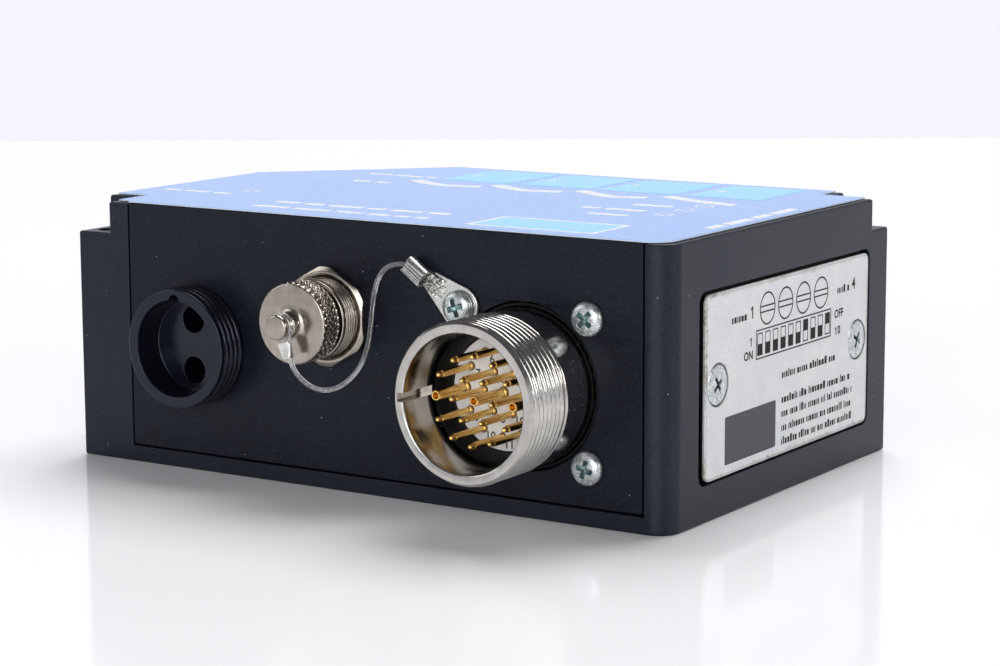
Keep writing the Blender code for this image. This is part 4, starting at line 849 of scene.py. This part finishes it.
def front_panel():
    low, high = (PANEL_LEFT + FIT, PANEL_BOTTOM + FIT), (PANEL_RIGHT - FIT, HEIGHT)
    outlines = [rounded_rectangle(low, high, 0.4, 4), ring(COLLAR, 8.5, 64), ring(SERVICE, 6.25, 64),
                ring(MAIN, 12.0, 96)]
    for across, up, _ in screw_places():
        outlines.append(ring((across, up), SCREW_HOLE, 32))
    panel = plate("connector_panel", outlines, -PANEL_THICKNESS, 0, PANEL_BLACK, FACE)
    soften(panel, 0.12, 2, 45)
    place(panel, "base", "front_panel", slot="black_anodised")


def screw_places():
    """Places of the panel screws and the turn of each cross recess in degrees."""
    return [(MAIN[0] + a * SCREW_OFFSET, MAIN[1] + b * SCREW_OFFSET, turn)
            for (a, b), turn in zip(CORNERS, (20, 50, 75, 10))]


def foil_outline():
    left, right, rear = FOIL_MARGIN, WIDTH - FOIL_MARGIN, DEPTH - FOIL_MARGIN
    slant = FOIL_MARGIN * (math.sqrt(2) - 1)
    corner = (right - CORNER_RADIUS, FOIL_FRONT + CORNER_RADIUS)
    front_step = (FRONT_LEDGE[0] + FOIL_MARGIN, FRONT_LEDGE[1] + FOIL_MARGIN)
    rear_step = (right - REAR_LEDGE[0], rear - REAR_LEDGE[1])
    front = FOIL_FRONT + FOIL_MARGIN
    return [(PANEL_LEFT, FOIL_FRONT), *arc(corner, CORNER_RADIUS, -90, 0, 14), (right, rear_step[1]),
            rear_step, (rear_step[0], rear), (CORNER_CHAMFER + slant, rear),
            (left, DEPTH - CORNER_CHAMFER - slant), (left, front_step[1]), front_step,
            (front_step[0], front), (PANEL_LEFT, front)]


def ribbon(points, width, steps=16):
    """Outline of a stripe of even width along a smooth row of (x, y) points."""
    route = smooth_route([Vector((x, y, 0)) for x, y in points], steps)
    left, right = [], []
    for i, point in enumerate(route):
        ahead = (route[min(i + 1, steps - 1)] - route[max(i - 1, 0)]).normalized()
        side = Vector((-ahead.y, ahead.x, 0)) * width / 2
        left.append((point + side)[:2])
        right.append((point - side)[:2])
    return [tuple(p) for p in left + right[::-1]]


def dashes(left, right, low, high, seed):
    """A line of plain dashes of unlike lengths, where a worded label would be."""
    source = random.Random(seed)
    outlines = []
    size = high - low
    x = left
    while x < right - size:
        length = min(right - x, size * source.uniform(1.4, 4.2))
        outlines.append(rounded_rectangle((x, low), (x + length, high), size * 0.3, 3))
        x += length + size * 0.55
    return outlines


def strokes(left, right, low, size, weight, seed):
    """A line of small upright bars in groups, where a worded label would be."""
    source = random.Random(seed)
    outlines = []
    x = left
    while x < right:
        for _ in range(source.randint(3, 8)):
            width = source.choice((0.26, 0.42, 0.62)) * (0.7 + weight)
            if x + width > right:
                break
            top = low + size * source.choice((0.72, 0.72, 0.75, 1.0))
            outlines.append(bar((x, low), (x + width, top)))
            x += width + 0.24
        x += 0.5
    return outlines


def stamp(name, words, material, pose, low, high, weight=0.0):
    """Raised characters, bolder by the weight. Words are (text, x, y, size)."""
    form = bmesh.new()
    for text, x, y, size in words:
        curve = bpy.data.curves.new(name, "FONT")
        curve.body = text
        curve.size = size * MM
        curve.extrude = (high - low) / 2 * MM
        curve.align_x = "CENTER"
        curve.align_y = "CENTER"
        curve.resolution_u = 3
        curve.offset = weight
        item = new_object(name + "_curve", curve, None, UP)
        mesh = evaluated_mesh(item)
        bpy.data.objects.remove(item, do_unlink=True)
        mesh.transform(Matrix.Translation((x * MM, y * MM, (low + high) / 2 * MM)))
        form.from_mesh(mesh)
        bpy.data.meshes.remove(mesh)
    return place(from_form(name, form, material, pose), "base")


def top_foil():
    foil = plate("foil_sheet", [foil_outline()], HEIGHT + 0.1, FOIL_TOP - 0.03, FOIL, PLAN)
    soften(foil, 0.03, 1, 45)
    place(foil, "base", "top_foil", slot="blue_foil")
    low, high = FOIL_TOP - 0.05, FOIL_TOP - 0.008
    windows = ((33.5, 46.9), (48.6, 61.8), (63.6, 77.1), (79.3, 92.3))
    panes = [rounded_rectangle((a, 50.6), (b, 66.4), 0.8) for a, b in windows]
    panes.append(rounded_rectangle(*DISPLAY, 0.4))
    place(plate("foil_panes", panes, low, high, CYAN_INK, PLAN), "base")
    white = [rounded_rectangle((69.8, 3.1), (91.2, 13.9), 0.6),
             rounded_rectangle(*DISPLAY, 0.4)]
    # White arcs painted on the foil in front of the key windows: painted highlights of the embossed key
    # rims, drawn in the white ink.
    key_rim_highlights = (((30.8, 47.5), (35.4, 44.6), (40, 43.3), (45.4, 44.6)),
            ((46.25, 47.9), (50.8, 45), (55, 43.75), (60.4, 45)),
            ((61.7, 47.9), (66.7, 45), (70.8, 43.3), (75.8, 45)),
            ((77.5, 47.9), (81, 46.3), (85.4, 44.5), (92, 43)))
    white += [ribbon(points, 2.5) for points in key_rim_highlights]
    # White rings round the LED windows: painted highlights of the embossed LED domes.
    for across, depth in ((88.7, 39.6), (88.7, 33.6), (88.7, 27.4), (17.4, 21.2)):
        white += [ring((across, depth), 1.5, 32), ring((across, depth), 1.15, 32)]
    labels = ((78.4, 86.8, 34.9, 37.9), (73.2, 86.8, 28.2, 31.2), (77.9, 87.3, 22.2, 25.0),
              (3.9, 17.4, 14.9, 17.6), (22.5, 30.0, 40.3, 43.1), (18.3, 32.0, 50.6, 53.1),
              (30.0, 61.8, 4.4, 7.4), (30.0, 61.8, 9.9, 13.1))
    for seed, (left, right, bottom, top) in enumerate(labels):
        white += dashes(left, right, bottom + (top - bottom) * 0.2, top - (top - bottom) * 0.2, seed)
    left, right = EDGE_LABEL
    white += [bar((left, a), (right, b))
              for a, b in ((16.5, 21.0), (22.0, 29.5), (30.6, 35.4), (36.4, 43.5))]
    # The white print and the painted key rim and LED dome highlights, as one plate.
    place(plate("foil_white_print_and_highlights", white, low, high, WHITE_INK_AND_HIGHLIGHT, PLAN), "base")
    digits = [(str(i + 1), a + 2.0, 58.5, 4.2) for i, (a, _) in enumerate(windows)]
    stamp("foil_digits", digits, WHITE_INK_AND_HIGHLIGHT, PLAN, FOIL_TOP - 0.02, FOIL_TOP - 0.001)


def recess_cutter(name, reach, width, depth, pose):
    """A cross that tapers downwards, as a screwdriver's tip does."""
    def outline(r, w):
        h = w / 2
        points = [(h, h), (h, r), (-h, r)]
        for _ in range(3):
            points += [(-y, x) for x, y in points[-3:]]
        return points

    form = bmesh.new()
    rows = []
    for level, r, w in ((0.6, reach * 1.05, width * 1.1), (0.0, reach, width),
                        (-depth * 0.55, reach * 0.82, width * 0.9), (-depth, reach * 0.35, width * 0.7)):
        rows.append([form.verts.new((x * MM, y * MM, level * MM)) for x, y in outline(r, w)])
    skin(form, rows)
    return from_form(name, form, None, pose)


def side_cover():
    low, high = COVER_LOW, COVER_HIGH
    rear_face = COVER_FACE - COVER_THICKNESS
    sheet = plate("cover_sheet", [rounded_rectangle(low, high, 1.3)], rear_face, COVER_FACE,
                  COVER_METAL, SIDE)
    for depth, up in COVER_SCREWS:
        sink = [(0, 1.0), (3.1, 1.0), (3.1, COVER_FACE - 0.2), (1.7, COVER_FACE - 0.8), (1.7, -3), (0, -3)]
        carve(sheet, revolve("sink", sink, 64, None, facing(behind(WIDTH, depth, up), RIGHT)))
    soften(sheet, 0.16, 3, 30)
    inner = rounded_rectangle((low[0] + 0.2, low[1] + 0.2), (high[0] - 0.2, high[1] - 0.2), 1.1)
    backing = plate("cover_backing", [inner], -1.0, rear_face, RUBBER, SIDE)
    soften(backing, 0.08, 2, 40)
    place(backing, "base")
    place(sheet, "base", "side_cover", slot="cover_plate")
    for number, ((depth, up), turn) in enumerate(zip(COVER_SCREWS, (35, 60))):
        pose = facing(behind(WIDTH + COVER_FACE + 0.1, depth, up), RIGHT)
        profile = [(0, 0), (1.2, -0.01), (2.2, -0.07), (2.75, -0.16), (2.9, -0.26), (2.88, -0.34),
                   (1.5, -0.9), (1.5, -4.1), (0, -4.1)]
        screw = revolve(f"cover_screw_{number + 1}", profile, 64, ZINC, pose)
        carve(screw, recess_cutter("cross", 1.4, 0.6, 1.3, spun(pose, turn)))
        soften(screw, 0.04, 2, 30)
        place(screw, "base", ("cover_screw_front", "cover_screw_rear")[number], slot="zinc_screw")
    print_cover(COVER_FACE)


def digit_one(x, y, size):
    """Outline of a bold 1 whose foot stands at (x, y)."""
    wide = size * 0.17
    return [(x, y), (x + wide, y), (x + wide, y + size), (x + wide * 0.25, y + size),
            (x - wide * 1.3, y + size * 0.8), (x - wide * 1.3, y + size * 0.66), (x, y + size * 0.76)]


def print_cover(face):
    low, high = face - 0.01, face + 0.012
    black = []
    for y in (28.8, 34.5, 40.3, 46.1):
        black += [ring((y, TRIMMER_HEIGHT), 2.42, 48), ring((y, TRIMMER_HEIGHT), 2.17, 48)]
        half = math.sqrt(2.16 ** 2 - 0.56 ** 2)
        for z in (TRIMMER_HEIGHT + 0.3, TRIMMER_HEIGHT - 0.52):
            black.append(bar((y - half, z), (y + half, z + 0.22)))
    frame_low, frame_high = (25.3, 20.9), (49.6, 25.2)
    black += [bar(frame_low, frame_high), bar((frame_low[0] + 0.2, frame_low[1] + 0.2),
                                              (frame_high[0] - 0.2, frame_high[1] - 0.2))]
    for x, y, size in ((24.0, 27.1, 1.75), (23.7, 23.1, 1.3), (51.3, 20.8, 1.3)):
        black.append(digit_one(x, y, size))
    pitch = (frame_high[0] - frame_low[0]) / 10
    for i in range(10):
        left = frame_low[0] + pitch * (i + 0.5) - 0.82
        inner = (left, frame_low[1] + 0.5), (left + 1.64, frame_high[1] - 0.5)
        black.append(bar(*inner))
        middle = (inner[0][1] + inner[1][1]) / 2
        hollow = (inner[0][1] + 0.18, middle - 0.05) if i in (6, 9) else (middle + 0.05, inner[1][1] - 0.18)
        black.append(bar((left + 0.18, hollow[0]), (left + 1.46, hollow[1])))
    lines = ((33.6, 57.3, 13.3, 0.5), (33.6, 57.3, 11.2, 0.3), (33.6, 57.3, 9.1, 0.3),
             (33.6, 57.3, 7.1, 0.3), (33.6, 51.8, 17.0, 0.5), (17.9, 22.9, 27.1, 0.4),
             (51.6, 56.0, 27.1, 0.3))
    for seed, (left, right, bottom, weight) in enumerate(lines):
        black += strokes(left, right, bottom, 1.15, weight, seed + 30)
    place(plate("cover_black_print", black, low, high, BLACK_INK, SIDE), "base")
    place(plate("cover_grey_field", [rounded_rectangle((16.1, 7.2), (31.7, 14.1), 0.3)], low, high,
                GREY_INK, SIDE), "base")
    words = [("4", 57.3, 27.9, 2.4), ("ON", 23.0, 21.8, 1.75), ("OFF", 52.3, 24.0, 1.75),
             ("0", 52.4, 21.45, 1.75)]
    stamp("cover_characters", words, BLACK_INK, SIDE, low, high, 0.00005)


# Connectors

def thread(forward, angle, crest, root, pitch):
    """Radius of a right-hand thread with flat crests."""
    turn = (forward / pitch - angle / (2 * math.pi)) % 1.0
    rise = abs(turn - 0.5) * 2
    lift = min(1.0, max(0.0, (0.92 - rise) / 0.5))
    return root + (crest - root) * lift * lift * (3 - 2 * lift)


def rounded_thread(forward, angle, crest, root, pitch):
    """Radius of a worn thread: broad round crests and narrow roots."""
    turn = (forward / pitch - angle / (2 * math.pi)) % 1.0
    return root + (crest - root) * math.sin(math.pi * turn) ** 0.7


def fibre_collar():
    pose = on_panel(COLLAR)
    crest, root, pitch = 9.12, 8.6, 1.05

    def shape(radius, forward, angle):
        if radius < 9.0 or forward < 0.3 or forward > 4.6:
            return radius, forward
        return rounded_thread(forward, angle, crest, root, pitch), forward

    profile = [(0, 0.75), (6.9, 0.75), (7.0, 0.9), *stretch((7.02, 1.0), (7.28, 5.1), 0.5), (7.36, 5.24),
               (7.46, 5.3), (8.8, 5.3), (8.93, 5.26), (9.0, 5.15), (9.02, 4.9), (9.02, 4.66)]
    profile += stretch((9.1, 4.6), (9.1, 0.35), 0.07)
    profile += [(8.7, 0.28), (8.7, 0.2), (8.2, 0.2), (8.2, -9.0), (0, -9.0)]
    collar = revolve("collar", profile, 144, COLLAR_BLACK, pose, shape)
    tools = [cylinder("notch", 1.0, 0.75, 8, None, shifted(pose, 0, 7.22), 32)]
    for sign in (-1, 1):
        tools.append(cylinder("hole", 2.05, -12, 3, None, shifted(pose, 0, sign * 3.9), 48))
    carve(collar, *tools)
    soften(collar, 0.05, 2, 50)
    place(collar, "base", "fibre_collar", slot="black_plastic")


def hexagon_radius(angle, apothem):
    turn = (math.degrees(angle) + 30) % 60 - 30
    return apothem / math.cos(math.radians(turn))


def service_connector():
    pose = on_panel(SERVICE)

    def threads(radius, forward, angle):
        if radius > 5.9 and 1.4 < forward < 3.85:
            return rounded_thread(forward, angle, 5.95, 5.68, 0.5), forward
        if 4.3 < radius < 4.6 and 4.8 < forward < 7.7:
            return thread(forward, angle, 4.4, 4.12, 0.5), forward
        return radius, forward

    profile = [(3.6, 7.9), (4.1, 7.9), (4.2, 7.8), *stretch((4.4, 7.65), (4.4, 4.6), 0.0625), (4.4, 4.5),
               (5.5, 4.5), (5.68, 4.47), (5.8, 4.4), (5.86, 4.28), (5.88, 3.92), (5.7, 3.88),
               *stretch((5.95, 3.84), (5.95, 1.45), 0.05), (5.95, 1.3),
               (5.95, -3.3), (7.4, -3.3), (7.4, -4.8), (5.95, -4.8), (5.95, -9.0), (3.6, -9.0)]
    sleeve = revolve("service_thread", profile, 120, NICKEL, pose, threads, closed=True)
    smooth(sleeve, 60)
    place(sleeve, "base", "service_sleeve", slot="nickel_brass")
    flats, thick, low = 6.88, 1.5, 0.1

    def hexagonal(radius, forward, angle):
        if radius < 6.9:
            return radius, forward
        cone = 6.72 + (thick - forward) * 1.7
        edge = 7.1 + (forward - low) * 3.0
        return min(hexagon_radius(angle, flats), cone, edge, 7.4), forward

    profile = [(6.1, thick - 0.3), (6.38, thick - 0.02), (6.44, thick), (6.6, thick)]
    profile += [(8.0, thick - 0.02 - i * 0.06) for i in range(12)]
    profile += [(8.0, 0.7), (8.0, 0.5), (8.0, 0.4), (8.0, 0.3), (8.0, 0.2), (8.0, low), (6.1, low)]
    nut = revolve("hexagon_nut", profile, 192, NICKEL, pose, hexagonal, closed=True)
    smooth(nut, 25)
    place(nut, "base", "service_nut", slot="nickel_brass")


def knurl(forward, angle, root, depth, teeth, lead):
    """Radius of a crossed diamond knurl."""
    one = (teeth * angle / (2 * math.pi) + forward / lead) % 1.0
    two = (teeth * angle / (2 * math.pi) - forward / lead) % 1.0
    return root + depth * min(1.0, 3.8 * min(0.5 - abs(one - 0.5), 0.5 - abs(two - 0.5)))


def screw_cap():
    pose = on_panel(SERVICE)

    def shape(radius, forward, angle):
        if radius < 5.85:
            return radius, forward
        fade = min(1.0, max(0.0, (8.85 - forward) / 0.12)) * min(1.0, max(0.0, (forward - 5.6) / 0.15))
        return knurl(forward, angle, 5.84 - 0.34 * fade, 0.08 + 0.37 * fade, 36, 1.15), forward

    profile = [(0, 13.0), (1.5, 13.0), (1.68, 12.95), (1.8, 12.82), (1.84, 12.6), (1.8, 12.35),
               (1.66, 12.22), (1.3, 12.16), (1.26, 12.0), (1.26, 11.0), (1.32, 10.88), (1.7, 10.82),
               (1.84, 10.7), (1.88, 10.5), (1.84, 10.3), (1.72, 10.2), (1.7, 9.9), (1.78, 9.6),
               (2.0, 9.38), (2.4, 9.25), (2.9, 9.2), (5.6, 9.2), (5.74, 9.17), (5.82, 9.1)]
    profile += stretch((5.9, 9.02), (5.9, 5.45), 0.07)
    profile += [(5.6, 5.36), (5.45, 5.3), (4.75, 5.3), (4.75, 8.4), (0, 8.4)]
    cap = revolve("knurled_cap", profile, 288, NICKEL, pose, shape)
    smooth(cap, 38)
    place(cap, "cap", "screw_cap", slot="nickel_brass")


def height_block(name, rows, floor, material, pose):
    """A closed form from rows of (x, y, top) points over a flat floor."""
    form = bmesh.new()
    tops = [[form.verts.new((x * MM, y * MM, z * MM)) for x, y, z in row] for row in rows]
    lows = [[form.verts.new((x * MM, y * MM, floor * MM)) for x, y, _ in row] for row in rows]
    count, width = len(rows), len(rows[0])
    for i in range(count - 1):
        for j in range(width - 1):
            form.faces.new((tops[i][j], tops[i + 1][j], tops[i + 1][j + 1], tops[i][j + 1]))
            form.faces.new((lows[i][j], lows[i][j + 1], lows[i + 1][j + 1], lows[i + 1][j]))
        form.faces.new((tops[i][0], lows[i][0], lows[i + 1][0], tops[i + 1][0]))
        form.faces.new((tops[i][-1], tops[i + 1][-1], lows[i + 1][-1], lows[i][-1]))
    for j in range(width - 1):
        form.faces.new((tops[0][j], tops[0][j + 1], lows[0][j + 1], lows[0][j]))
        form.faces.new((tops[-1][j], lows[-1][j], lows[-1][j + 1], tops[-1][j + 1]))
    return from_form(name, form, material, pose)


def ring_terminal():
    """A ring tongue, wings rolled round the cord, and the crumpled metal between them."""
    hub = Vector(screw_places()[0][:2])
    mouth = hub + Vector((-8.07, 5.71))
    along = (hub - mouth).normalized()
    reach = (hub - mouth).length
    turn = spun(FORWARD, math.degrees(math.atan2(along.y, along.x)))
    pose = facing(spot(hub.x, 0, hub.y), turn)
    heel = 3.7 - reach
    outline = [(heel - 0.8, -1.2), (heel + 0.1, -1.2), (heel + 0.3, -1.6), *arc((0, 0), 3.1, -107, 107, 48),
               (heel + 0.3, 1.6), (heel + 0.1, 1.2), (heel - 0.8, 1.2)]
    tongue = plate("terminal_tongue", [outline, ring((0, 0), SCREW_HOLE, 40)], 0.1, 0.6, TINNED, pose)
    soften(tongue, 0.12, 3, 40)
    place(tongue, "base", "ring_terminal", slot="tinned_copper")
    centre = (0.0, 1.55)
    wings = arc(centre, 1.5, 124, 416, 44) + arc(centre, 1.12, 416, 124, 36)
    lengthwise = pose @ RIGHT
    barrel = plate("terminal_barrel", [wings], -reach, heel - 0.1, TINNED, lengthwise)
    soften(barrel, 0.09, 3, 40)
    for side, drop in ((-0.62, 0.12), (-0.2, 0.0), (0.22, 0.05), (0.62, 0.16)):
        rib = cylinder("terminal_rib", 0.19, -reach + 0.15, heel - 0.2, TINNED,
                       shifted(lengthwise, side, 2.55 - drop), 20)
        soften(rib, 0.04, 2, 40)
        place(rib, "base", slot="tinned_copper")
    rows = []
    for i in range(33):
        share = i / 32
        x = heel + 3.1 * share
        half = 1.3 + 0.45 * share
        row = []
        for j in range(49):
            side = 2 * j / 48 - 1
            fold = noise.noise(Vector((x * 1.3, side * half * 1.6, 3.0)))
            ridges = 0.66 + 0.34 * math.cos((side + fold * 0.35) * math.pi * 4.5)
            crown = max(0.0, 1 - abs(side) ** 3) ** 0.5
            rise = (1.6 - 1.25 * share) * (1.0 + 0.5 * noise.noise(Vector((x * 2.1, side * 2.2, 0.0))))
            row.append((x, side * half, 0.5 + max(0.08, rise) * crown * ridges * 0.8))
        rows.append(row)
    crimp = height_block("terminal_crimp", rows, 0.3, TINNED, pose)
    smooth(crimp, 60)
    for item in (barrel, crimp):
        place(item, "base", slot="tinned_copper")


def panel_screws():
    names = ("terminal", "right_top", "right_bottom", "left_bottom")
    for name, (across, up, turn) in zip(names, screw_places()):
        seat = 0.7 if name == "terminal" else 0.1
        top = seat + 1.25
        pose = on_panel((across, up), top)
        profile = [(0, 0), (0.9, -0.03), (1.5, -0.11), (1.95, -0.26), (2.25, -0.48), (2.4, -0.74),
                   (2.45, seat + 0.2 - top), (2.4, seat + 0.05 - top), (2.3, seat - top),
                   (1.25, seat - top), (1.25, -6.5 - top), (0, -6.9 - top)]
        screw = revolve("pan_screw_" + name, profile, 72, ZINC, pose)
        carve(screw, recess_cutter("cross", 1.42, 0.78, 1.0, spun(pose, turn)))
        soften(screw, 0.05, 2, 32)
        place(screw, "base", "panel_screw_" + name, slot="zinc_screw")


def main_connector():
    pose = on_panel(MAIN)
    front = SHELL_FRONT
    end = front - 8.4

    def shape(radius, forward, angle):
        if radius < 11.0 or forward < end - 0.7:
            return radius, forward
        rough = noise.noise(Vector((math.cos(angle) * 9, math.sin(angle) * 9, forward * 2.2)))
        rough += noise.noise(Vector((math.cos(angle) * 27, math.sin(angle) * 27, forward * 3.1)))
        cut = rounded_thread(forward, angle, SHELL_CREST + 0.035 * rough, SHELL_ROOT, 1.05)
        lead = 10.95 + (front - forward) * 1.0
        runout = 11.2 if forward < end else 0.0
        return min(max(cut, runout), lead, SHELL_CREST + 0.02), forward

    profile = [(9.95, front), (10.95, front)]
    profile += stretch((11.3, front - 0.06), (11.3, end - 0.7), 0.075)
    profile += [(11.2, end - 0.8), (11.2, end - 1.0), (11.2, 0.4), (11.2, -5.8), (9.8, -5.8), (9.8, -12.0),
                (8.5, -12.0), (8.5, 5.4), (9.7, 5.4), (9.7, 8.9), (9.7, 12.4), (9.7, front - 0.25),
                (9.78, front - 0.08)]
    shell = revolve("threaded_shell", profile, 192, SHELL_NICKEL, pose, shape, closed=True)
    carve(shell, box("keyway", (-10.65, -0.65, 8.2 + SHELL_SHIFT), (-7.7, 0.65, 18), None, pose))
    smooth(shell, 40)
    place(shell, "base", "main_shell", slot="nickel_brass")
    outlines = [rounded_rectangle((-13.5, -13.5), (13.5, 13.5), 3.0), ring((0, 0), 11.25, 96)]
    outlines += [ring((a * SCREW_OFFSET, b * SCREW_OFFSET), SCREW_HOLE, 32) for a, b in CORNERS]
    flange = plate("shell_flange", outlines, -5.8, -3.3, SHELL_NICKEL, pose)
    soften(flange, 0.15, 2, 40)
    place(flange, "base")
    seal = [(8.9, 8.2), (9.3, 8.2), (9.4, 8.1), (9.4, 5.3), (8.4, 5.3), (8.4, 6.6), (8.6, 7.1), (8.72, 7.9)]
    seal = [(radius, forward + SHELL_SHIFT) for radius, forward in seal]
    ring_seal = revolve("seal_ring", seal, 120, RUBBER, pose, closed=True)
    smooth(ring_seal, 50)
    place(ring_seal, "base", "main_seal", slot="seal_rubber")
    insert_and_contacts(pose)


def insert_and_contacts(pose):
    outlines = [ring((0, 0), 8.2, 96)]
    digits = []
    places = [("contact_centre", 0.0, 0.0, True)]
    for count, radius, label in ((12, OUTER_CIRCLE, "outer"), (6, INNER_CIRCLE, "inner")):
        for i in range(count):
            angle = math.radians(CONTACT_TURN + 360 * i / count)
            thick = label == "outer" and i % 6 == 0
            places.append((f"contact_{label}_{i + 1:02d}", radius * math.cos(angle),
                           radius * math.sin(angle), thick))
    for number, (name, x, y, thick) in enumerate(places, 1):
        radius, groove = (0.75, 0.66) if thick else (0.5, 0.42)
        outlines.append(ring((x, y), radius + 0.12, 24))
        digits.append((str(number), x + 1.12, y - 1.0, 1.7))
        if thick:
            tip = 12.4 + SHELL_SHIFT
            profile = [(0, tip - 1.6), (0.42, tip - 1.6), (0.45, tip - 0.05), (0.5, tip), (0.64, tip),
                       (0.74, tip - 0.1), (0.75, tip - 0.25)]
        else:
            tip = 13.3 + SHELL_SHIFT
            profile = [(0, tip), (0.14, tip - 0.02), (0.26, tip - 0.09), (0.35, tip - 0.22),
                       (0.38, tip - 0.36), (0.35, tip - 0.5), (0.3, tip - 0.6), (0.3, tip - 0.85),
                       (0.36, tip - 0.95), (0.5, tip - 1.1)]
        profile += [(radius, 6.3), (groove, 6.25), (groove, 5.9), (radius, 5.85), (radius, -12.5),
                    (0, -12.5)]
        contact = revolve(name.replace("contact", "gold"), profile, 24, GOLD, shifted(pose, x, y))
        smooth(contact, 40)
        place(contact, "base", name, slot="gold_contact")
    insert = plate("white_insert", outlines, INSERT_FRONT - 15, INSERT_FRONT, WHITE, pose)
    soften(insert, 0.06, 2, 40)
    place(insert, "base", "main_insert", slot="white_plastic")
    stamp("insert_digits", digits, DIGIT_INK, pose, INSERT_FRONT - 0.01, INSERT_FRONT + 0.012, 0.00003)


# Floor, backdrop and light

def stage(camera, yaw):
    """A glossy white table with its rear edge in view, and a pale lit wall behind it."""
    table = Surface("floor_white", (0.91, 0.912, 0.93), 0.1, 0.0, Specular_IOR_Level=0.12)
    ahead = Vector((math.sin(yaw), math.cos(yaw), 0))
    level = Vector((math.cos(yaw), -math.sin(yaw), 0))
    foot = Vector((camera.matrix_world.translation.x, camera.matrix_world.translation.y, 0))
    above = Vector((0, 0, 1))
    floor = plate("floor", [bar((-1500, -1200), (1500, 940))], -20, -0.01, table.material,
                  facing(foot, axes(level, ahead, above)))
    wall = Surface("backdrop_pale", (0.02, 0.02, 0.02), 0.9, Specular_IOR_Level=0.0)
    wall.shader.inputs["Emission Color"].default_value = (0.905, 0.905, 0.985, 1.0)
    wall.shader.inputs["Emission Strength"].default_value = WALL_GLOW
    backdrop = plate("backdrop", [bar((-3000, -1500), (3000, 700))], 0, 10, wall.material,
                     facing(foot + ahead * WALL_DISTANCE, axes(level, above, -ahead)))


def area_light(name, place_at, target, size, power):
    data = bpy.data.lights.new(name, "AREA")
    data.shape = "RECTANGLE"
    data.size, data.size_y = size
    data.energy = power
    away = (Vector(place_at) - Vector(target)).normalized()
    turn = away.to_track_quat("Z", "Y").to_matrix().to_4x4()
    return new_object(name, data, None, facing(place_at, turn))


def lights():
    world = bpy.data.worlds.new("World")
    bpy.context.scene.world = world
    world.use_nodes = True
    back = world.node_tree.nodes["Background"]
    tree = world.node_tree
    direction = tree.nodes.new("ShaderNodeTexCoord").outputs["Generated"]
    parts = tree.nodes.new("ShaderNodeSeparateXYZ")
    tree.links.new(direction, parts.inputs[0])
    rise = tree.nodes.new("ShaderNodeMapRange")
    tree.links.new(parts.outputs[2], rise.inputs["Value"])
    for socket, value in (("From Min", 0.2), ("From Max", 0.42), ("To Min", 0.7), ("To Max", 0.12)):
        rise.inputs[socket].default_value = value
    back.inputs["Color"].default_value = (0.93, 0.94, 1.0, 1.0)
    tree.links.new(rise.outputs["Result"], back.inputs["Strength"])
    for name, *values in LIGHTS:
        light = area_light(name, *values)
        light.visible_glossy = name != "fill"
    scene = bpy.context.scene
    scene.view_settings.view_transform = "Standard"
    scene.view_settings.look = "None"
    scene.view_settings.exposure = 0.0


camera_object, camera_yaw = make_camera()
lanyard()
housing()
front_panel()
top_foil()
side_cover()
fibre_collar()
service_connector()
screw_cap()
ring_terminal()
panel_screws()
main_connector()
stage(camera_object, camera_yaw)
lights()
